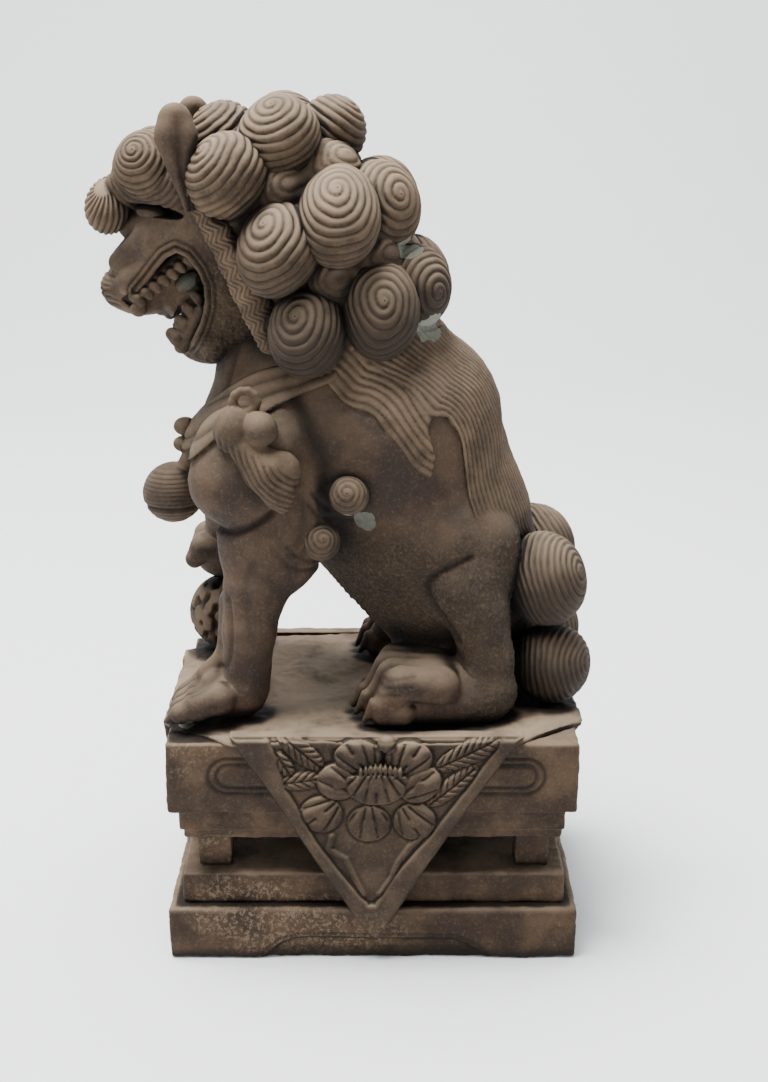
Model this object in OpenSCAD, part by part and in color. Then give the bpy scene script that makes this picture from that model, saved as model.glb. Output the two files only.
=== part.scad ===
// Carved stone guardian lion seated on a pedestal with an altar cloth.
// Millimetres. +Z is up, -Y is the way the lion faces, +X is the lion's left side.
// The origin is the centre of the pedestal's underside.

/* [Pedestal] */
// Length of the top slab, front to back
slab_len = 145; // [140:1:150]
// Depth of the top slab, side to side
slab_depth = 104; // [102:1:108]
// Height of the foot with the carved aprons
foot_h = 20; // [18:0.5:22]
// Height of the plain step above the foot
step_h = 12.3; // [11:0.1:14]
// Height of the open waist
waist_h = 13.2; // [12:0.1:15]
// Height of the recessed frieze
frieze_h = 12; // [11:0.5:13]
// Height of the top slab
slab_h = 27; // [25:0.5:28]
// How far the step and the frieze stand back from the slab's faces
setback = 3.6; // [3:0.1:5]
// Width of each corner post in the waist
post_w = 12.5; // [10:0.5:15]
// How far the posts stand back from the slab's faces
post_setback = 9; // [8:0.5:11]
// How far the foot stands out past the slab's faces
foot_lip = 1; // [0:0.5:2]
// Depth of the carving on the foot and the slab
relief = 1.2; // [0.8:0.1:1.6]

/* [Altar cloth] */
// Thickness of the cloth on top of the slab
cloth_t = 2.5; // [2:0.5:3]
// How far each flap stands out from the slab's face
flap_proud = 3.5; // [3:0.5:5]
// Width of a side flap where it leaves the slab's edge
side_flap_w = 100; // [90:1:104]
// How far a side flap hangs down
side_flap_drop = 77; // [70:1:79]
// Width of the front flap where it leaves the slab's edge
front_flap_w = 72; // [60:1:76]
// How far the front flap hangs down
front_flap_drop = 54; // [48:1:60]
// How far the short back flap hangs down
back_flap_drop = 22; // [18:1:24]
// Radius of the peony carved on a side flap
peony_r = 21; // [18:0.5:23]

/* [Lion] */
// Radius of the chest
chest_r = 34; // [32:0.5:35]
// Radius of the back and the haunches
back_r = 36; // [34:0.5:37]
// Radius of the ball of the mane under its curls
mane_r = 34; // [32:0.5:35]
// Radius of the skull
skull_r = 26; // [25:0.5:27]
// Radius of the muzzle
muzzle_r = 15; // [14:0.5:16]
// Radius of the open mouth
mouth_r = 10; // [9:0.5:11]
// Radius of a foreleg at mid height
foreleg_r = 12; // [11:0.5:13]
// Radius of the bell on the collar
bell_r = 10.5; // [9:0.5:11]
// Radius of the brocade ball under the right forepaw
ball_r = 15; // [14:0.5:16]
// Number of ridges from the middle of a curl to its rim
curl_ridges = 5; // [4:1:6]
// Height of the ridges on a curl
ridge_h = 0.9; // [0.6:0.1:1.2]

/* [Hidden] */
$fn = 48;
slack = 0.01;             // keeps coincident faces out of the cuts
step_z = foot_h;
waist_z = step_z + step_h;
frieze_z = waist_z + waist_h;
slab_z = frieze_z + frieze_h;
slab_top = slab_z + slab_h;
stand_z = slab_top + cloth_t;        // the level that the lion stands on
apron_h = 0.32 * foot_h;
apron_w = 0.46 * slab_len;

// The lion's own points are measured from the middle of the cloth that it stands on.
chest = [0, -30, 91];
back = [0, 8, 98];
rump = [0, 20, 61];
seat = [0, 30, 25];
belly = [0, -6, 78];
withers = [0, -18, 113];
mane = [0, -20, 165];
nape = [0, -8, 150];
skull = [0, -52, 170];
muzzle = [0, -76, 158];
nose = [0, -86, 150];
mouth = [0, -71, 146];
chin = [0, -58, 131];
jaw_hinge = [0, -42, 138];
shoulder = [21, -35, 96];
elbow = [27, -46, 78];
bell = [0, -73, 74];
ball = [-38, -58, ball_r - 1];

// Each mane curl: place of the middle of its rim, radius. The left side, mirrored for the right.
SIDE_CURLS = [
    [27, -46, 191, 14],   // above the ear
    [16, -31, 202, 15],   // crown
    [29, -13, 178, 16],   // upper side
    [32, -32, 163, 15.5], // behind the cheek
    [27, 1, 147, 16],     // lower side
    [31, -23, 138, 15.5], // below the cheek
    [13, 7, 180, 13],     // upper back
    [13, 19, 146, 13]     // lower back
];
CROWN_CURL = [0, -12, 202, 12];

SIDES = [["left", 1], ["right", -1]];
function curl_name(side, i) = str("mane_curl_", side, "_", i + 1);

// ---- helpers ----

// Turns a shape that stands along +Z to point along d.
module aim(d) {
    rotate([0, acos(d[2] / norm(d)), atan2(d[1], d[0])]) children();
}

// Two spheres and the cone that is tangent to both.
module limb(a, b, ra, rb) {
    d = b - a;
    lean = asin((ra - rb) / norm(d));
    steps = 5;
    outline = concat(
        [for (i = [0 : steps]) let (t = -90 + (90 + lean) * i / steps)
            [i == 0 ? 0 : ra * cos(t), ra * sin(t)]],
        [for (i = [0 : steps]) let (t = lean + (90 - lean) * i / steps)
            [i == steps ? 0 : rb * cos(t), norm(d) + rb * sin(t)]]
    );
    translate(a) aim(d) rotate_extrude() polygon(outline);
}

// A carved form that blends several limbs is one skin of flat facets.
module carved() {
    resize([0, 0, 0]) children();
}

// A low dome with round ridges, such as one stone curl. Its rim is at p and it faces along d.
module curl(p, d, r, rise = 0.62, root = 0.55) {
    steps = 4 * curl_ridges;
    height = rise * r;
    dome = [for (i = [0 : steps]) let (x = r * i / steps)
        [x, height * sqrt(1 - pow(x / r, 2)) - (i % 4 == 2 && i < steps - 3 ? ridge_h : 0)]];
    translate(p) aim(d) rotate_extrude()
        polygon(concat(dome, [[0.7 * r, -root * r], [0, -root * r]]));
}

module on_cloth() {
    translate([0, 0, stand_z]) children();
}

// Makes a left-hand piece into the right-hand one when s is -1.
module on_side(s) {
    mirror([s < 0 ? 1 : 0, 0, 0]) children();
}

module slab_box(inset, z, h) {
    translate([-slab_depth / 2 + inset, -slab_len / 2 + inset, z])
        cube([slab_depth - 2 * inset, slab_len - 2 * inset, h]);
}

// ---- pedestal ----

// Flat bracket shape that is cut into the foot's faces, centred on the face.
module apron_cut(w) {
    translate([0, 0, -slack]) rotate([90, 0, 0])
        linear_extrude(2 * relief, center = true)
            polygon([[-w / 2, 0], [-w / 2 + 6, apron_h * 0.7], [-w / 2 + 11, apron_h],
                [w / 2 - 11, apron_h], [w / 2 - 6, apron_h * 0.7], [w / 2, 0]]);
}

module plinth_foot() {
    color("#7a6a5c") difference() {
        slab_box(-foot_lip, 0, foot_h);
        for (side = [-1, 1]) {
            translate([0, side * (slab_len / 2 + foot_lip), 0]) apron_cut(apron_w * 0.7);
            translate([side * (slab_depth / 2 + foot_lip), 0, 0]) rotate([0, 0, 90]) apron_cut(apron_w);
        }
    }
}

module plinth_step() {
    color("#76675a") slab_box(setback, step_z, step_h);
}

module corner_posts() {
    x = slab_depth / 2 - post_setback - post_w;
    y = slab_len / 2 - post_setback - post_w;
    color("#5f5248") for (sx = [-1, 1]) for (sy = [-1, 1])
        translate([sx * (x + post_w / 2), sy * (y + post_w / 2), waist_z + waist_h / 2])
            cube([post_w, post_w, waist_h], center = true);
}

module plinth_frieze() {
    color("#6d5e52") slab_box(setback, frieze_z, frieze_h);
}

// A long panel outline with round ends, sunk as a thin groove.
module slab_moulding(len) {
    tall = 0.46 * slab_h;
    line = 1.6;
    rotate([90, 0, 0]) linear_extrude(2 * relief, center = true) difference() {
        union() {
            square([len - tall, tall], center = true);
            for (s = [-1, 1]) translate([s * (len - tall) / 2, 0]) circle(d = tall);
        }
        union() {
            square([len - tall, tall - 2 * line], center = true);
            for (s = [-1, 1]) translate([s * (len - tall) / 2, 0]) circle(d = tall - 2 * line);
        }
    }
}

module plinth_slab() {
    color("#7d6d5f") difference() {
        slab_box(0, slab_z, slab_h);
        for (side = [-1, 1]) {
            translate([0, side * slab_len / 2, slab_z + slab_h / 2]) slab_moulding(0.78 * slab_depth);
            translate([side * slab_depth / 2, 0, slab_z + slab_h / 2]) rotate([0, 0, 90])
                slab_moulding(0.8 * slab_len);
        }
    }
}

// ---- altar cloth ----

module cloth_top() {
    x = slab_depth / 2 + flap_proud;
    y = slab_len / 2 + flap_proud;
    a = side_flap_w / 2;
    b = front_flap_w / 2;
    color("#857464") translate([0, 0, slab_top]) linear_extrude(cloth_t)
        polygon([[x, -a], [x, a], [b, y], [-b, y], [-x, a], [-x, -a], [-b, -y], [b, -y]]);
}

// A pointed flap on the +X face, which fills in to the recessed courses behind it. The filling is a little narrower.
module flap(w, drop, reach) {
    narrower = 0.6;
    deep = slab_top - foot_h;
    at_foot = max(0, 1 - deep / drop) * w / 2 - narrower;
    at_slab = max(0, 1 - slab_h / drop) * w / 2 - narrower;
    difference() {
        union() {
            translate([reach, 0, slab_top]) rotate([90, 0, 90]) linear_extrude(flap_proud)
                polygon([[-w / 2, 0], [w / 2, 0], [0, -drop]]);
            if (drop > deep) translate([reach - setback, 0, slab_top]) rotate([90, 0, 90])
                linear_extrude(setback + 1) polygon([[-at_slab, -slab_h], [at_slab, -slab_h],
                    [at_foot, -deep], [-at_foot, -deep]]);
            if (drop <= deep && drop > slab_h) translate([reach - setback, 0, slab_top])
                rotate([90, 0, 90]) linear_extrude(setback + 1)
                    polygon([[-at_slab, -slab_h], [at_slab, -slab_h], [0, -drop + 2 * narrower]]);
        }
        translate([reach - 1, -slab_len / 2, -1]) cube([1 + foot_lip, slab_len, foot_h + 1]);
        translate([reach + flap_proud - relief, 0, slab_top - 0.12 * drop]) rotate([90, 0, 90])
            linear_extrude(relief + 1) polygon([[-0.3 * w, 0], [0.3 * w, 0], [0, -0.6 * drop]]);
    }
}

// Outline of a flower with round petals.
function flower(r, petals) = [for (i = [0 : 8 * petals - 1]) let (a = 45 * i / petals)
    r * (0.84 + 0.16 * abs(cos(petals * a / 2))) * [cos(a), sin(a)]];

// A round flower on the +X face: three layers of petals, each smaller and higher than the last.
module peony() {
    for (layer = [[1, 8, 0.3], [0.62, 6, 0.8], [0.28, 5, 1.3]])
        translate([1, 0, 0]) rotate([90, 0, 90]) linear_extrude(flap_proud - 1 + layer[2])
            polygon(flower(layer[0] * peony_r, layer[1]));
}

module side_flap() {
    flap(side_flap_w, side_flap_drop, slab_depth / 2);
    translate([slab_depth / 2, 0, slab_top - 0.33 * side_flap_drop]) peony();
}

module cloth_flap(s) {
    color("#857464") on_side(s) side_flap();
}

module cloth_flap_front() {
    color("#857464") rotate([0, 0, -90]) flap(front_flap_w, front_flap_drop, slab_len / 2);
}

module cloth_flap_back() {
    color("#857464") rotate([0, 0, 90]) flap(front_flap_w, back_flap_drop, slab_len / 2);
}

// ---- lion: uncut forms ----

module ribcage() {
    limb(chest, back, chest_r, back_r);
}

module haunches() {
    limb(back, rump, back_r, back_r - 0.5);
    limb(rump, seat, back_r - 0.5, seat[2]);
}

module neck() {
    limb(withers, mane - [0, 4, 25], 31, 27);
}

module torso_form() {
    ribcage();
    haunches();
    neck();
    limb(belly, rump, 30, 30.5);
}

module mane_form() {
    limb(mane, nape, mane_r, 0.82 * mane_r);
}

module head_form() {
    limb(skull, muzzle, skull_r, muzzle_r);
    limb(muzzle, nose, muzzle_r - 3, 8);
}

module foreleg_form() {
    limb(shoulder, elbow, 21, 18);
    limb(elbow, [31, -44, 43], 18, foreleg_r);
    limb([31, -44, 43], [32, -46, 17], foreleg_r, 10.5);
}

// The right foreleg is lifted so that its paw rests on the ball.
module lifted_foreleg_form() {
    limb(shoulder, elbow, 21, 18);
    limb(elbow, [33, -44, 52], 18, foreleg_r);
    limb([33, -44, 52], [37, -52, 40], foreleg_r, 9.5);
}

module hindleg_form() {
    limb([27, 26, 58], [33, 36, 34], 21, 15);
    limb([33, 36, 34], [34, 38, 13], 15, 12);
}

// ---- lion: pieces ----

module torso() {
    color("#6f6055") on_cloth() carved() torso_form();
}

// The combed hair that lies over the shoulders, below the mane.
module hair_cape() {
    color("#75655a") on_cloth() carved() difference() {
        union() {
            limb(chest + [0, 3, 6], back + [0, -3, 5], chest_r + 1, back_r + 1);
            limb(withers + [0, 2, 2], mane - [0, 4, 25], 32, 29);
        }
        torso_form();
        mane_form();
        translate([-60, -90, -1]) cube([120, 140, 93]);
        translate([-60, -90, 90]) cube([120, 45, 80]);
    }
}

module mane_core() {
    color("#4d4139") on_cloth() difference() {
        mane_form();
        neck();
        ribcage();
    }
}

module head() {
    color("#75665a") on_cloth() carved() difference() {
        head_form();
        mane_form();
        translate(mouth) rotate([0, 90, 0]) cylinder(r = mouth_r, h = 80, center = true);
        translate([-40, mouth[1] - 40, mouth[2] - 40 - 2]) cube([80, 40, 40]);
        translate([-40, -70, mouth[2] - 30]) cube([80, 40, 30]);
    }
}

module jaw() {
    color("#6f6055") on_cloth() difference() {
        limb(jaw_hinge, chin, 15, 9);
        mane_form();
        neck();
        translate(mouth) rotate([0, 90, 0]) cylinder(r = mouth_r, h = 80, center = true);
    }
}

// A curved row of block teeth on both sides of the mouth, from angle a0 to a1 around the mouth.
module teeth_row(a0, a1, count) {
    size = 4;
    for (s = [-1, 1]) for (i = [0 : count - 1])
        translate(mouth + [s * 9, 0, 0]) rotate([a0 + (a1 - a0) * i / (count - 1), 0, 0])
            translate([-size / 2, -size / 2, mouth_r - size]) cube([size, size, size]);
}

module upper_teeth() {
    color("#8d8271") on_cloth() teeth_row(12, 78, 3);
}

module lower_teeth() {
    color("#8d8271") on_cloth() teeth_row(150, 216, 3);
}

module tongue() {
    color("#3c322c") on_cloth() difference() {
        limb(mouth + [0, 16, -1], mouth + [0, -2, -5], 5, 4.5);
        limb(jaw_hinge, chin, 15, 9);
        mane_form();
        head_form();
    }
}

module eyes() {
    color("#40362f") on_cloth() difference() {
        for (s = [-1, 1]) translate([s * 13, -74, 174]) sphere(6);
        head_form();
    }
}

module ear(s) {
    color("#75665a") on_cloth() on_side(s) difference() {
        limb([25, -57, 182], [26, -62, 208], 7, 3.5);
        head_form();
        curl([27, -47, 192], [27, -27, 27], 13);
    }
}

module brow_curls(s) {
    color("#6a5c51") on_cloth() on_side(s) difference() {
        union() {
            curl([14, -75, 189], [10, -9, 10], 11);
            curl([9, -90, 177], [8, -8, 5], 8.5);
        }
        head_form();
        translate([-20, -110, 150]) cube([20, 60, 60]);
    }
}

// The strip of wavy beard between the cheek and the mane.
module whiskers(s) {
    color("#6a5c51") on_cloth() on_side(s) difference() {
        union() {
            limb([26, -58, 178], [28, -50, 158], 5, 5);
            limb([28, -50, 158], [24, -42, 134], 5, 5);
        }
        head_form();
        mane_form();
        limb(jaw_hinge, chin, 15, 9);
    }
}

module collar() {
    color("#64564b") on_cloth() carved() difference() {
        for (s = [-1, 1]) {
            limb([s * 30, -42, 106], [s * 17, -60, 98], 5, 5);
            limb([s * 17, -60, 98], [0, -65, 84], 5, 5);
        }
        ribcage();
    }
}

module bell() {
    groove = 1.2;
    color("#6a5c50") on_cloth() difference() {
        translate(bell) sphere(bell_r);
        translate(bell) cylinder(r = bell_r + 1, h = groove, center = true);
        ribcage();
        translate([-bell_r, -73, 82]) cube([2 * bell_r, 30, 10]);
    }
    color("#6a5c50") on_cloth() translate(bell) cylinder(r = bell_r - 2, h = groove, center = true);
}

// The bow at the shoulder and the tassel that hangs from it.
module ribbon(s) {
    color("#75665a") on_cloth() on_side(s) difference() {
        union() {
            limb([35, -47, 105], [37, -36, 107], 6.5, 6.5);
            limb([37, -36, 104], [36, -27, 82], 6, 4.5);
        }
        ribcage();
        limb(shoulder, elbow, 21, 18);
    }
}

module brocade_ball() {
    color("#55483e") on_cloth() difference() {
        translate(ball) sphere(ball_r);
        translate(ball - [ball_r, ball_r, 2 * ball_r + ball[2]]) cube(2 * ball_r);
    }
}

module foreleg(s) {
    color("#73635a") on_cloth() on_side(s) difference() {
        if (s > 0) foreleg_form(); else lifted_foreleg_form();
        ribcage();
    }
}

// A paw with four toes. Its heel is at p and it points forward.
module paw(p, len, r) {
    limb(p, p + [0, -len, -1], r + 1, r);
    for (i = [0 : 3])
        translate(p + [(i - 1.5) * 0.52 * r, -len - 0.35 * r, -0.25 * r]) sphere(0.5 * r);
}

module forepaw(s) {
    color("#75665a") on_cloth() difference() {
        union() {
            if (s > 0) paw([33, -50, 8], 12, 8.5);
            else paw([-37, -56, 37], 9, 8.5);
        }
        on_side(s) {
            if (s > 0) foreleg_form(); else lifted_foreleg_form();
        }
        if (s < 0) translate(ball) sphere(ball_r);
        translate([-80, -120, -20]) cube([160, 120, 20]);
    }
}

module hindleg(s) {
    color("#6c5d52") on_cloth() on_side(s) difference() {
        hindleg_form();
        haunches();
    }
}

module hindpaw(s) {
    color("#73645a") on_cloth() on_side(s) difference() {
        paw([35, 28, 9], 22, 9);
        hindleg_form();
        translate([-80, -40, -20]) cube([160, 120, 20]);
    }
}

module elbow_curls(s) {
    color("#75665a") on_cloth() on_side(s) difference() {
        union() {
            curl([35, -9, 82], [1, 0, 0], 7.5);
            curl([34, -17, 65], [1, 0, 0], 6.2);
        }
        ribcage();
        limb(shoulder, elbow, 21, 18);
    }
}

module tail_curls(s) {
    color("#6e5f54") on_cloth() on_side(s) difference() {
        union() {
            curl([13, 63, 46], [10, 8, 1], 15, 0.8, 0.7);
            curl([13, 66, 15], [10, 8, -1], 14.5, 0.8, 0.7);
        }
        haunches();
        translate([-40, 20, 0]) cube([40, 80, 80]);
        translate([-60, 0, -20]) cube([120, 120, 20]);
    }
}

module mane_curl(c, s) {
    p = [c[0], c[1], c[2]];
    color("#7c6c5f") on_cloth() on_side(s) difference() {
        curl(p, p - (mane + nape) / 2, c[3], 0.72);
        mane_form();
    }
}

// ---- the part ----

plinth_foot();
plinth_step();
corner_posts();
plinth_frieze();
plinth_slab();
cloth_top();
cloth_flap_front();
cloth_flap_back();
torso();
hair_cape();
mane_core();
head();
jaw();
upper_teeth();
lower_teeth();
tongue();
eyes();
collar();
bell();
brocade_ball();
mane_curl(CROWN_CURL, 1);  // mane_curl_crown
for (side = SIDES) {
    cloth_flap(side[1]);
    foreleg(side[1]);
    forepaw(side[1]);
    hindleg(side[1]);
    hindpaw(side[1]);
    ear(side[1]);
    brow_curls(side[1]);
    whiskers(side[1]);
    ribbon(side[1]);
    elbow_curls(side[1]);
    tail_curls(side[1]);
    for (i = [0 : len(SIDE_CURLS) - 1])
        mane_curl(SIDE_CURLS[i], side[1]);
}
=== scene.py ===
"""A carved stone guardian lion on its pedestal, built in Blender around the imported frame.

Lengths are in millimetres until a mesh is made. The pedestal is measured from the frame's origin. The lion
is measured from the middle of the cloth that it stands on. +X is its left side and -Y is the way it faces.
"""

import math

import bpy
import numpy as np
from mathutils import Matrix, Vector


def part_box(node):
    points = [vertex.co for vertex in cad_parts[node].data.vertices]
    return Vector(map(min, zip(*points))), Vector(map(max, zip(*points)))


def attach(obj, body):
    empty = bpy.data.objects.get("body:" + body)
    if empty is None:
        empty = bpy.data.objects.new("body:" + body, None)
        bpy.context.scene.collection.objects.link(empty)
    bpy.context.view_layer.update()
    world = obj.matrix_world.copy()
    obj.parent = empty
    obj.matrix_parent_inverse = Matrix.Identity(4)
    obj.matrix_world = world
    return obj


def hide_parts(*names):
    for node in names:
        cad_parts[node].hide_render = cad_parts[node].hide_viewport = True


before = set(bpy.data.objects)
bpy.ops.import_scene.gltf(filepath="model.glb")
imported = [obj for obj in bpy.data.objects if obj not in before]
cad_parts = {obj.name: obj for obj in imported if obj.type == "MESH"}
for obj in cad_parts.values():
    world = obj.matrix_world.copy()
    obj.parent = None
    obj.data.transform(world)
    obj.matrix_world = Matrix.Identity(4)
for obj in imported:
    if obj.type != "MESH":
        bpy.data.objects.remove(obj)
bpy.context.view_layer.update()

import openvdb
from mathutils import Vector

MM = 0.001
FAR = 14.0                                   # distances beyond this are not needed
BODY_STEP = 0.82      # size of a grid cell in the body
HEAD_STEP = 0.48
CORE_STEP = 0.7      # size of a grid cell in the core of the mane
CAPE_STEP = 0.57     # size of a grid cell in the long hair
STONE_STEP = 0.7      # size of a grid cell in the pedestal
FLAP_STEP = 0.45
SHADE_STEP = 1.5                             # size of a grid cell in the map of hollows


def node_box(node):
    """The low and high corners of a CAD node, in millimetres."""
    low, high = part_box(node)
    return np.array(low) / MM, np.array(high) / MM


STAND = node_box("cloth_top")[1][2]
SLAB = node_box("plinth_slab")
FOOT = node_box("plinth_foot")
STEP = node_box("plinth_step")
FRIEZE = node_box("plinth_frieze")
HALF_DEPTH = SLAB[1][0]
HALF_LENGTH = SLAB[1][1]


# ---------------------------------------------------------------- noise

def value_noise(points, size, seed):
    """Smooth noise from -1 to 1 at each point, with bumps about `size` millimetres across."""
    table = np.random.default_rng(seed).uniform(-1, 1, 4096).astype(np.float32)
    scaled = points / size
    cell = np.floor(scaled).astype(np.int64)
    part = (scaled - cell).astype(np.float32)
    part = part * part * (3 - 2 * part)
    total = np.zeros(len(points), np.float32)
    for corner in range(8):
        offset = np.array([corner & 1, corner >> 1 & 1, corner >> 2 & 1])
        at = cell + offset
        index = (at[:, 0] * 73856093 ^ at[:, 1] * 19349663 ^ at[:, 2] * 83492791) & 4095
        weight = np.prod(np.where(offset, part, 1 - part), axis=1)
        total += weight * table[index]
    return total


def rough_noise(points, size, seed, layers=3):
    """Several sizes of noise together, each half as large and half as strong as the last."""
    total = 0
    for i in range(layers):
        total = total + value_noise(points, size / 2 ** i, seed + i) / 2 ** i
    return total


# ---------------------------------------------------------------- clay: distance fields on a grid

def melt_min(a, b, melt):
    """The smaller of two distances, rounded where they meet over about `melt` millimetres."""
    if melt <= 0:
        return np.minimum(a, b)
    h = np.maximum(melt - np.abs(a - b), 0) / melt
    return np.minimum(a, b) - h * h * melt / 4


class Form:
    """A solid given by its distance: negative inside, positive outside."""

    def __init__(self, low, high, at):
        self.low = np.array(low, float)
        self.high = np.array(high, float)
        self.at = at


def limb(a, b, ra, rb, wide=1.0):
    """A rounded bar from a to b. `wide` stretches it from side to side."""
    a, b = np.array(a, float), np.array(b, float)
    along = b - a
    stretch = np.array([wide, 1, 1])
    size = float(((along / stretch) ** 2).sum())

    def at(x, y, z):
        px, py, pz = (x - a[0]) / wide, y - a[1], z - a[2]
        t = np.clip((px * along[0] / wide + py * along[1] + pz * along[2]) / size, 0, 1)
        gap = np.sqrt((px - t * along[0] / wide) ** 2 + (py - t * along[1]) ** 2 + (pz - t * along[2]) ** 2)
        return (gap - (ra + (rb - ra) * t)) * min(wide, 1)

    reach_a, reach_b = ra * stretch, rb * stretch
    return Form(np.minimum(a - reach_a, b - reach_b), np.maximum(a + reach_a, b + reach_b), at)


def egg(centre, radii, lean=0):
    """An ellipsoid. `lean` tips its top back, in degrees."""
    c = np.array(centre, float)
    cos, sin = math.cos(math.radians(lean)), math.sin(math.radians(lean))

    def at(x, y, z):
        px, py, pz = x - c[0], y - c[1], z - c[2]
        qy, qz = cos * py - sin * pz, sin * py + cos * pz
        k0 = np.sqrt((px / radii[0]) ** 2 + (qy / radii[1]) ** 2 + (qz / radii[2]) ** 2)
        k1 = np.sqrt((px / radii[0] ** 2) ** 2 + (qy / radii[1] ** 2) ** 2 + (qz / radii[2] ** 2) ** 2)
        return k0 * (k0 - 1) / np.maximum(k1, 1e-6)

    reach = max(radii[1], radii[2]) if lean else 0
    side = np.array([radii[0], max(radii[1], reach), max(radii[2], reach)])
    return Form(c - side, c + side, at)


def block(low, high, round_edge=0.0):
    """A box with rounded edges."""
    low, high = np.array(low, float), np.array(high, float)
    centre, half = (low + high) / 2, (high - low) / 2 - round_edge

    def at(x, y, z):
        qx, qy, qz = abs(x - centre[0]) - half[0], abs(y - centre[1]) - half[1], abs(z - centre[2]) - half[2]
        outside = np.sqrt(np.maximum(qx, 0) ** 2 + np.maximum(qy, 0) ** 2 + np.maximum(qz, 0) ** 2)
        return outside + np.minimum(np.maximum(np.maximum(qx, qy), qz), 0) - round_edge

    return Form(low, high, at)


def outline_distance(u, v, corners):
    """Signed distance to a closed outline in a plane, negative inside."""
    best = np.full(np.broadcast(u, v).shape, 1e9)
    inside = np.zeros(best.shape, bool)
    for (ax, ay), (bx, by) in zip(corners, corners[1:] + corners[:1]):
        ex, ey = bx - ax, by - ay
        t = np.clip(((u - ax) * ex + (v - ay) * ey) / (ex * ex + ey * ey), 0, 1)
        best = np.minimum(best, (u - ax - t * ex) ** 2 + (v - ay - t * ey) ** 2)
        crosses = (ay > v) != (by > v)
        edge_at = ex * (v - ay) / (by - ay if by != ay else 1e-9) + ax
        inside ^= crosses & (u < edge_at)
    return np.where(inside, -1, 1) * np.sqrt(best)


def side_cut(corners, x_low, x_high):
    """A solid with the given outline in the side view (y, z), from x_low to x_high."""
    ys, zs = [c[0] for c in corners], [c[1] for c in corners]

    def at(x, y, z):
        flat = outline_distance(y, z, corners)
        return np.maximum(flat, np.maximum(x_low - x, x - x_high))

    return Form((x_low, min(ys), min(zs)), (x_high, max(ys), max(zs)), at)


class Clay:
    """A box of grid points that holds the distance to a solid."""

    def __init__(self, low, high, step):
        self.step = step
        self.start = np.floor(np.array(low, float) / step).astype(int)
        self.count = np.ceil(np.array(high, float) / step).astype(int) - self.start + 1
        self.d = np.full(self.count, FAR, np.float32)

    def window(self, low, high):
        first = np.clip(np.floor(low / self.step).astype(int) - self.start, 0, self.count)
        last = np.clip(np.ceil(high / self.step).astype(int) - self.start + 1, 0, self.count)
        return tuple(slice(a, b) for a, b in zip(first, last))

    def lines(self, window):
        """The x, y and z of a window's points, ready to be combined."""
        for axis in range(3):
            at = (self.start[axis] + np.arange(window[axis].start, window[axis].stop)) * self.step
            shape = [1, 1, 1]
            shape[axis] = -1
            yield at.reshape(shape)

    def add(self, form, melt=0.0):
        room = melt + 2 * self.step
        window = self.window(form.low - room, form.high + room)
        self.d[window] = melt_min(self.d[window], form.at(*self.lines(window)), melt)
        return self

    def cut(self, form, melt=0.0):
        room = melt + 2 * self.step
        window = self.window(form.low - room, form.high + room)
        self.d[window] = -melt_min(-self.d[window], form.at(*self.lines(window)), melt)
        return self

    def shared(self, other):
        """The windows of this grid and of another where they cover the same points."""
        first = np.maximum(self.start, other.start)
        last = np.minimum(self.start + self.count, other.start + other.count)
        last = np.maximum(last, first)
        mine = tuple(slice(a, b) for a, b in zip(first - self.start, last - self.start))
        its = tuple(slice(a, b) for a, b in zip(first - other.start, last - other.start))
        return mine, its

    def sample(self, points):
        """The distance at any points, blended between grid points."""
        at = np.clip(points / self.step - self.start, 0, self.count - 1.001)
        cell = at.astype(int)
        part = at - cell
        total = np.zeros(len(points))
        for corner in range(8):
            o = (corner & 1, corner >> 1 & 1, corner >> 2 & 1)
            weight = np.ones(len(points))
            for axis in range(3):
                weight = weight * (part[:, axis] if o[axis] else 1 - part[:, axis])
            total += weight * self.d[cell[:, 0] + o[0], cell[:, 1] + o[1], cell[:, 2] + o[2]]
        return total

    def skin(self):
        """The surface as points and quads."""
        grid = openvdb.FloatGrid(FAR)
        grid.copyFromArray(np.ascontiguousarray(self.d))
        points, quads = grid.convertToQuads(0.0)
        quads = quads.astype(np.int64)
        face = np.cross(points[quads[:, 2]] - points[quads[:, 0]], points[quads[:, 3]] - points[quads[:, 1]])
        if (face * points[quads[:, 0]]).sum() < 0:
            quads = quads[:, ::-1]
        return (points + self.start) * self.step, quads


def clay_of(forms, step, margin=2.0):
    """Clay around a list of (form, melt) pairs, which are added in order."""
    low = np.min([f.low for f, _ in forms], axis=0) - margin
    high = np.max([f.high for f, _ in forms], axis=0) + margin
    clay = Clay(low, high, step)
    for form, melt in forms:
        clay.add(form, melt)
    return clay


def melt_together(groups, step, room=3.0):
    """One clay melted from several. groups maps a name to (clay, melt)."""
    low = np.min([c.start for c, _ in groups.values()], axis=0) * step - room
    high = np.max([c.start + c.count for c, _ in groups.values()], axis=0) * step + room
    whole = Clay(low, high, step)
    for clay, melt in groups.values():
        mine, its = whole.shared(clay)
        whole.d[mine] = melt_min(whole.d[mine], clay.d[its], melt)
    return whole


def shares(groups, whole, overlap=1.6, dip=0.35):
    """Cuts a melted clay into closed solids, one for each group. Each dips in under its neighbours."""
    result = {}
    for name, (clay, _) in groups.items():
        share = Clay((0, 0, 0), (0, 0, 0), clay.step)
        share.start, share.count = clay.start.copy(), clay.count.copy()
        nearest = np.full(clay.d.shape, FAR, np.float32)
        for other, (rival, _) in groups.items():
            if other != name:
                mine, its = clay.shared(rival)
                nearest[mine] = np.minimum(nearest[mine], rival.d[its])
        mine, its = clay.shared(whole)
        skin = np.full(clay.d.shape, FAR, np.float32)
        skin[mine] = whole.d[its]
        beyond = clay.d - nearest
        share.d = np.maximum(skin + dip * np.maximum(beyond, 0), beyond / 2 - overlap)
        result[name] = share
    return result


# ---------------------------------------------------------------- meshes

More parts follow.
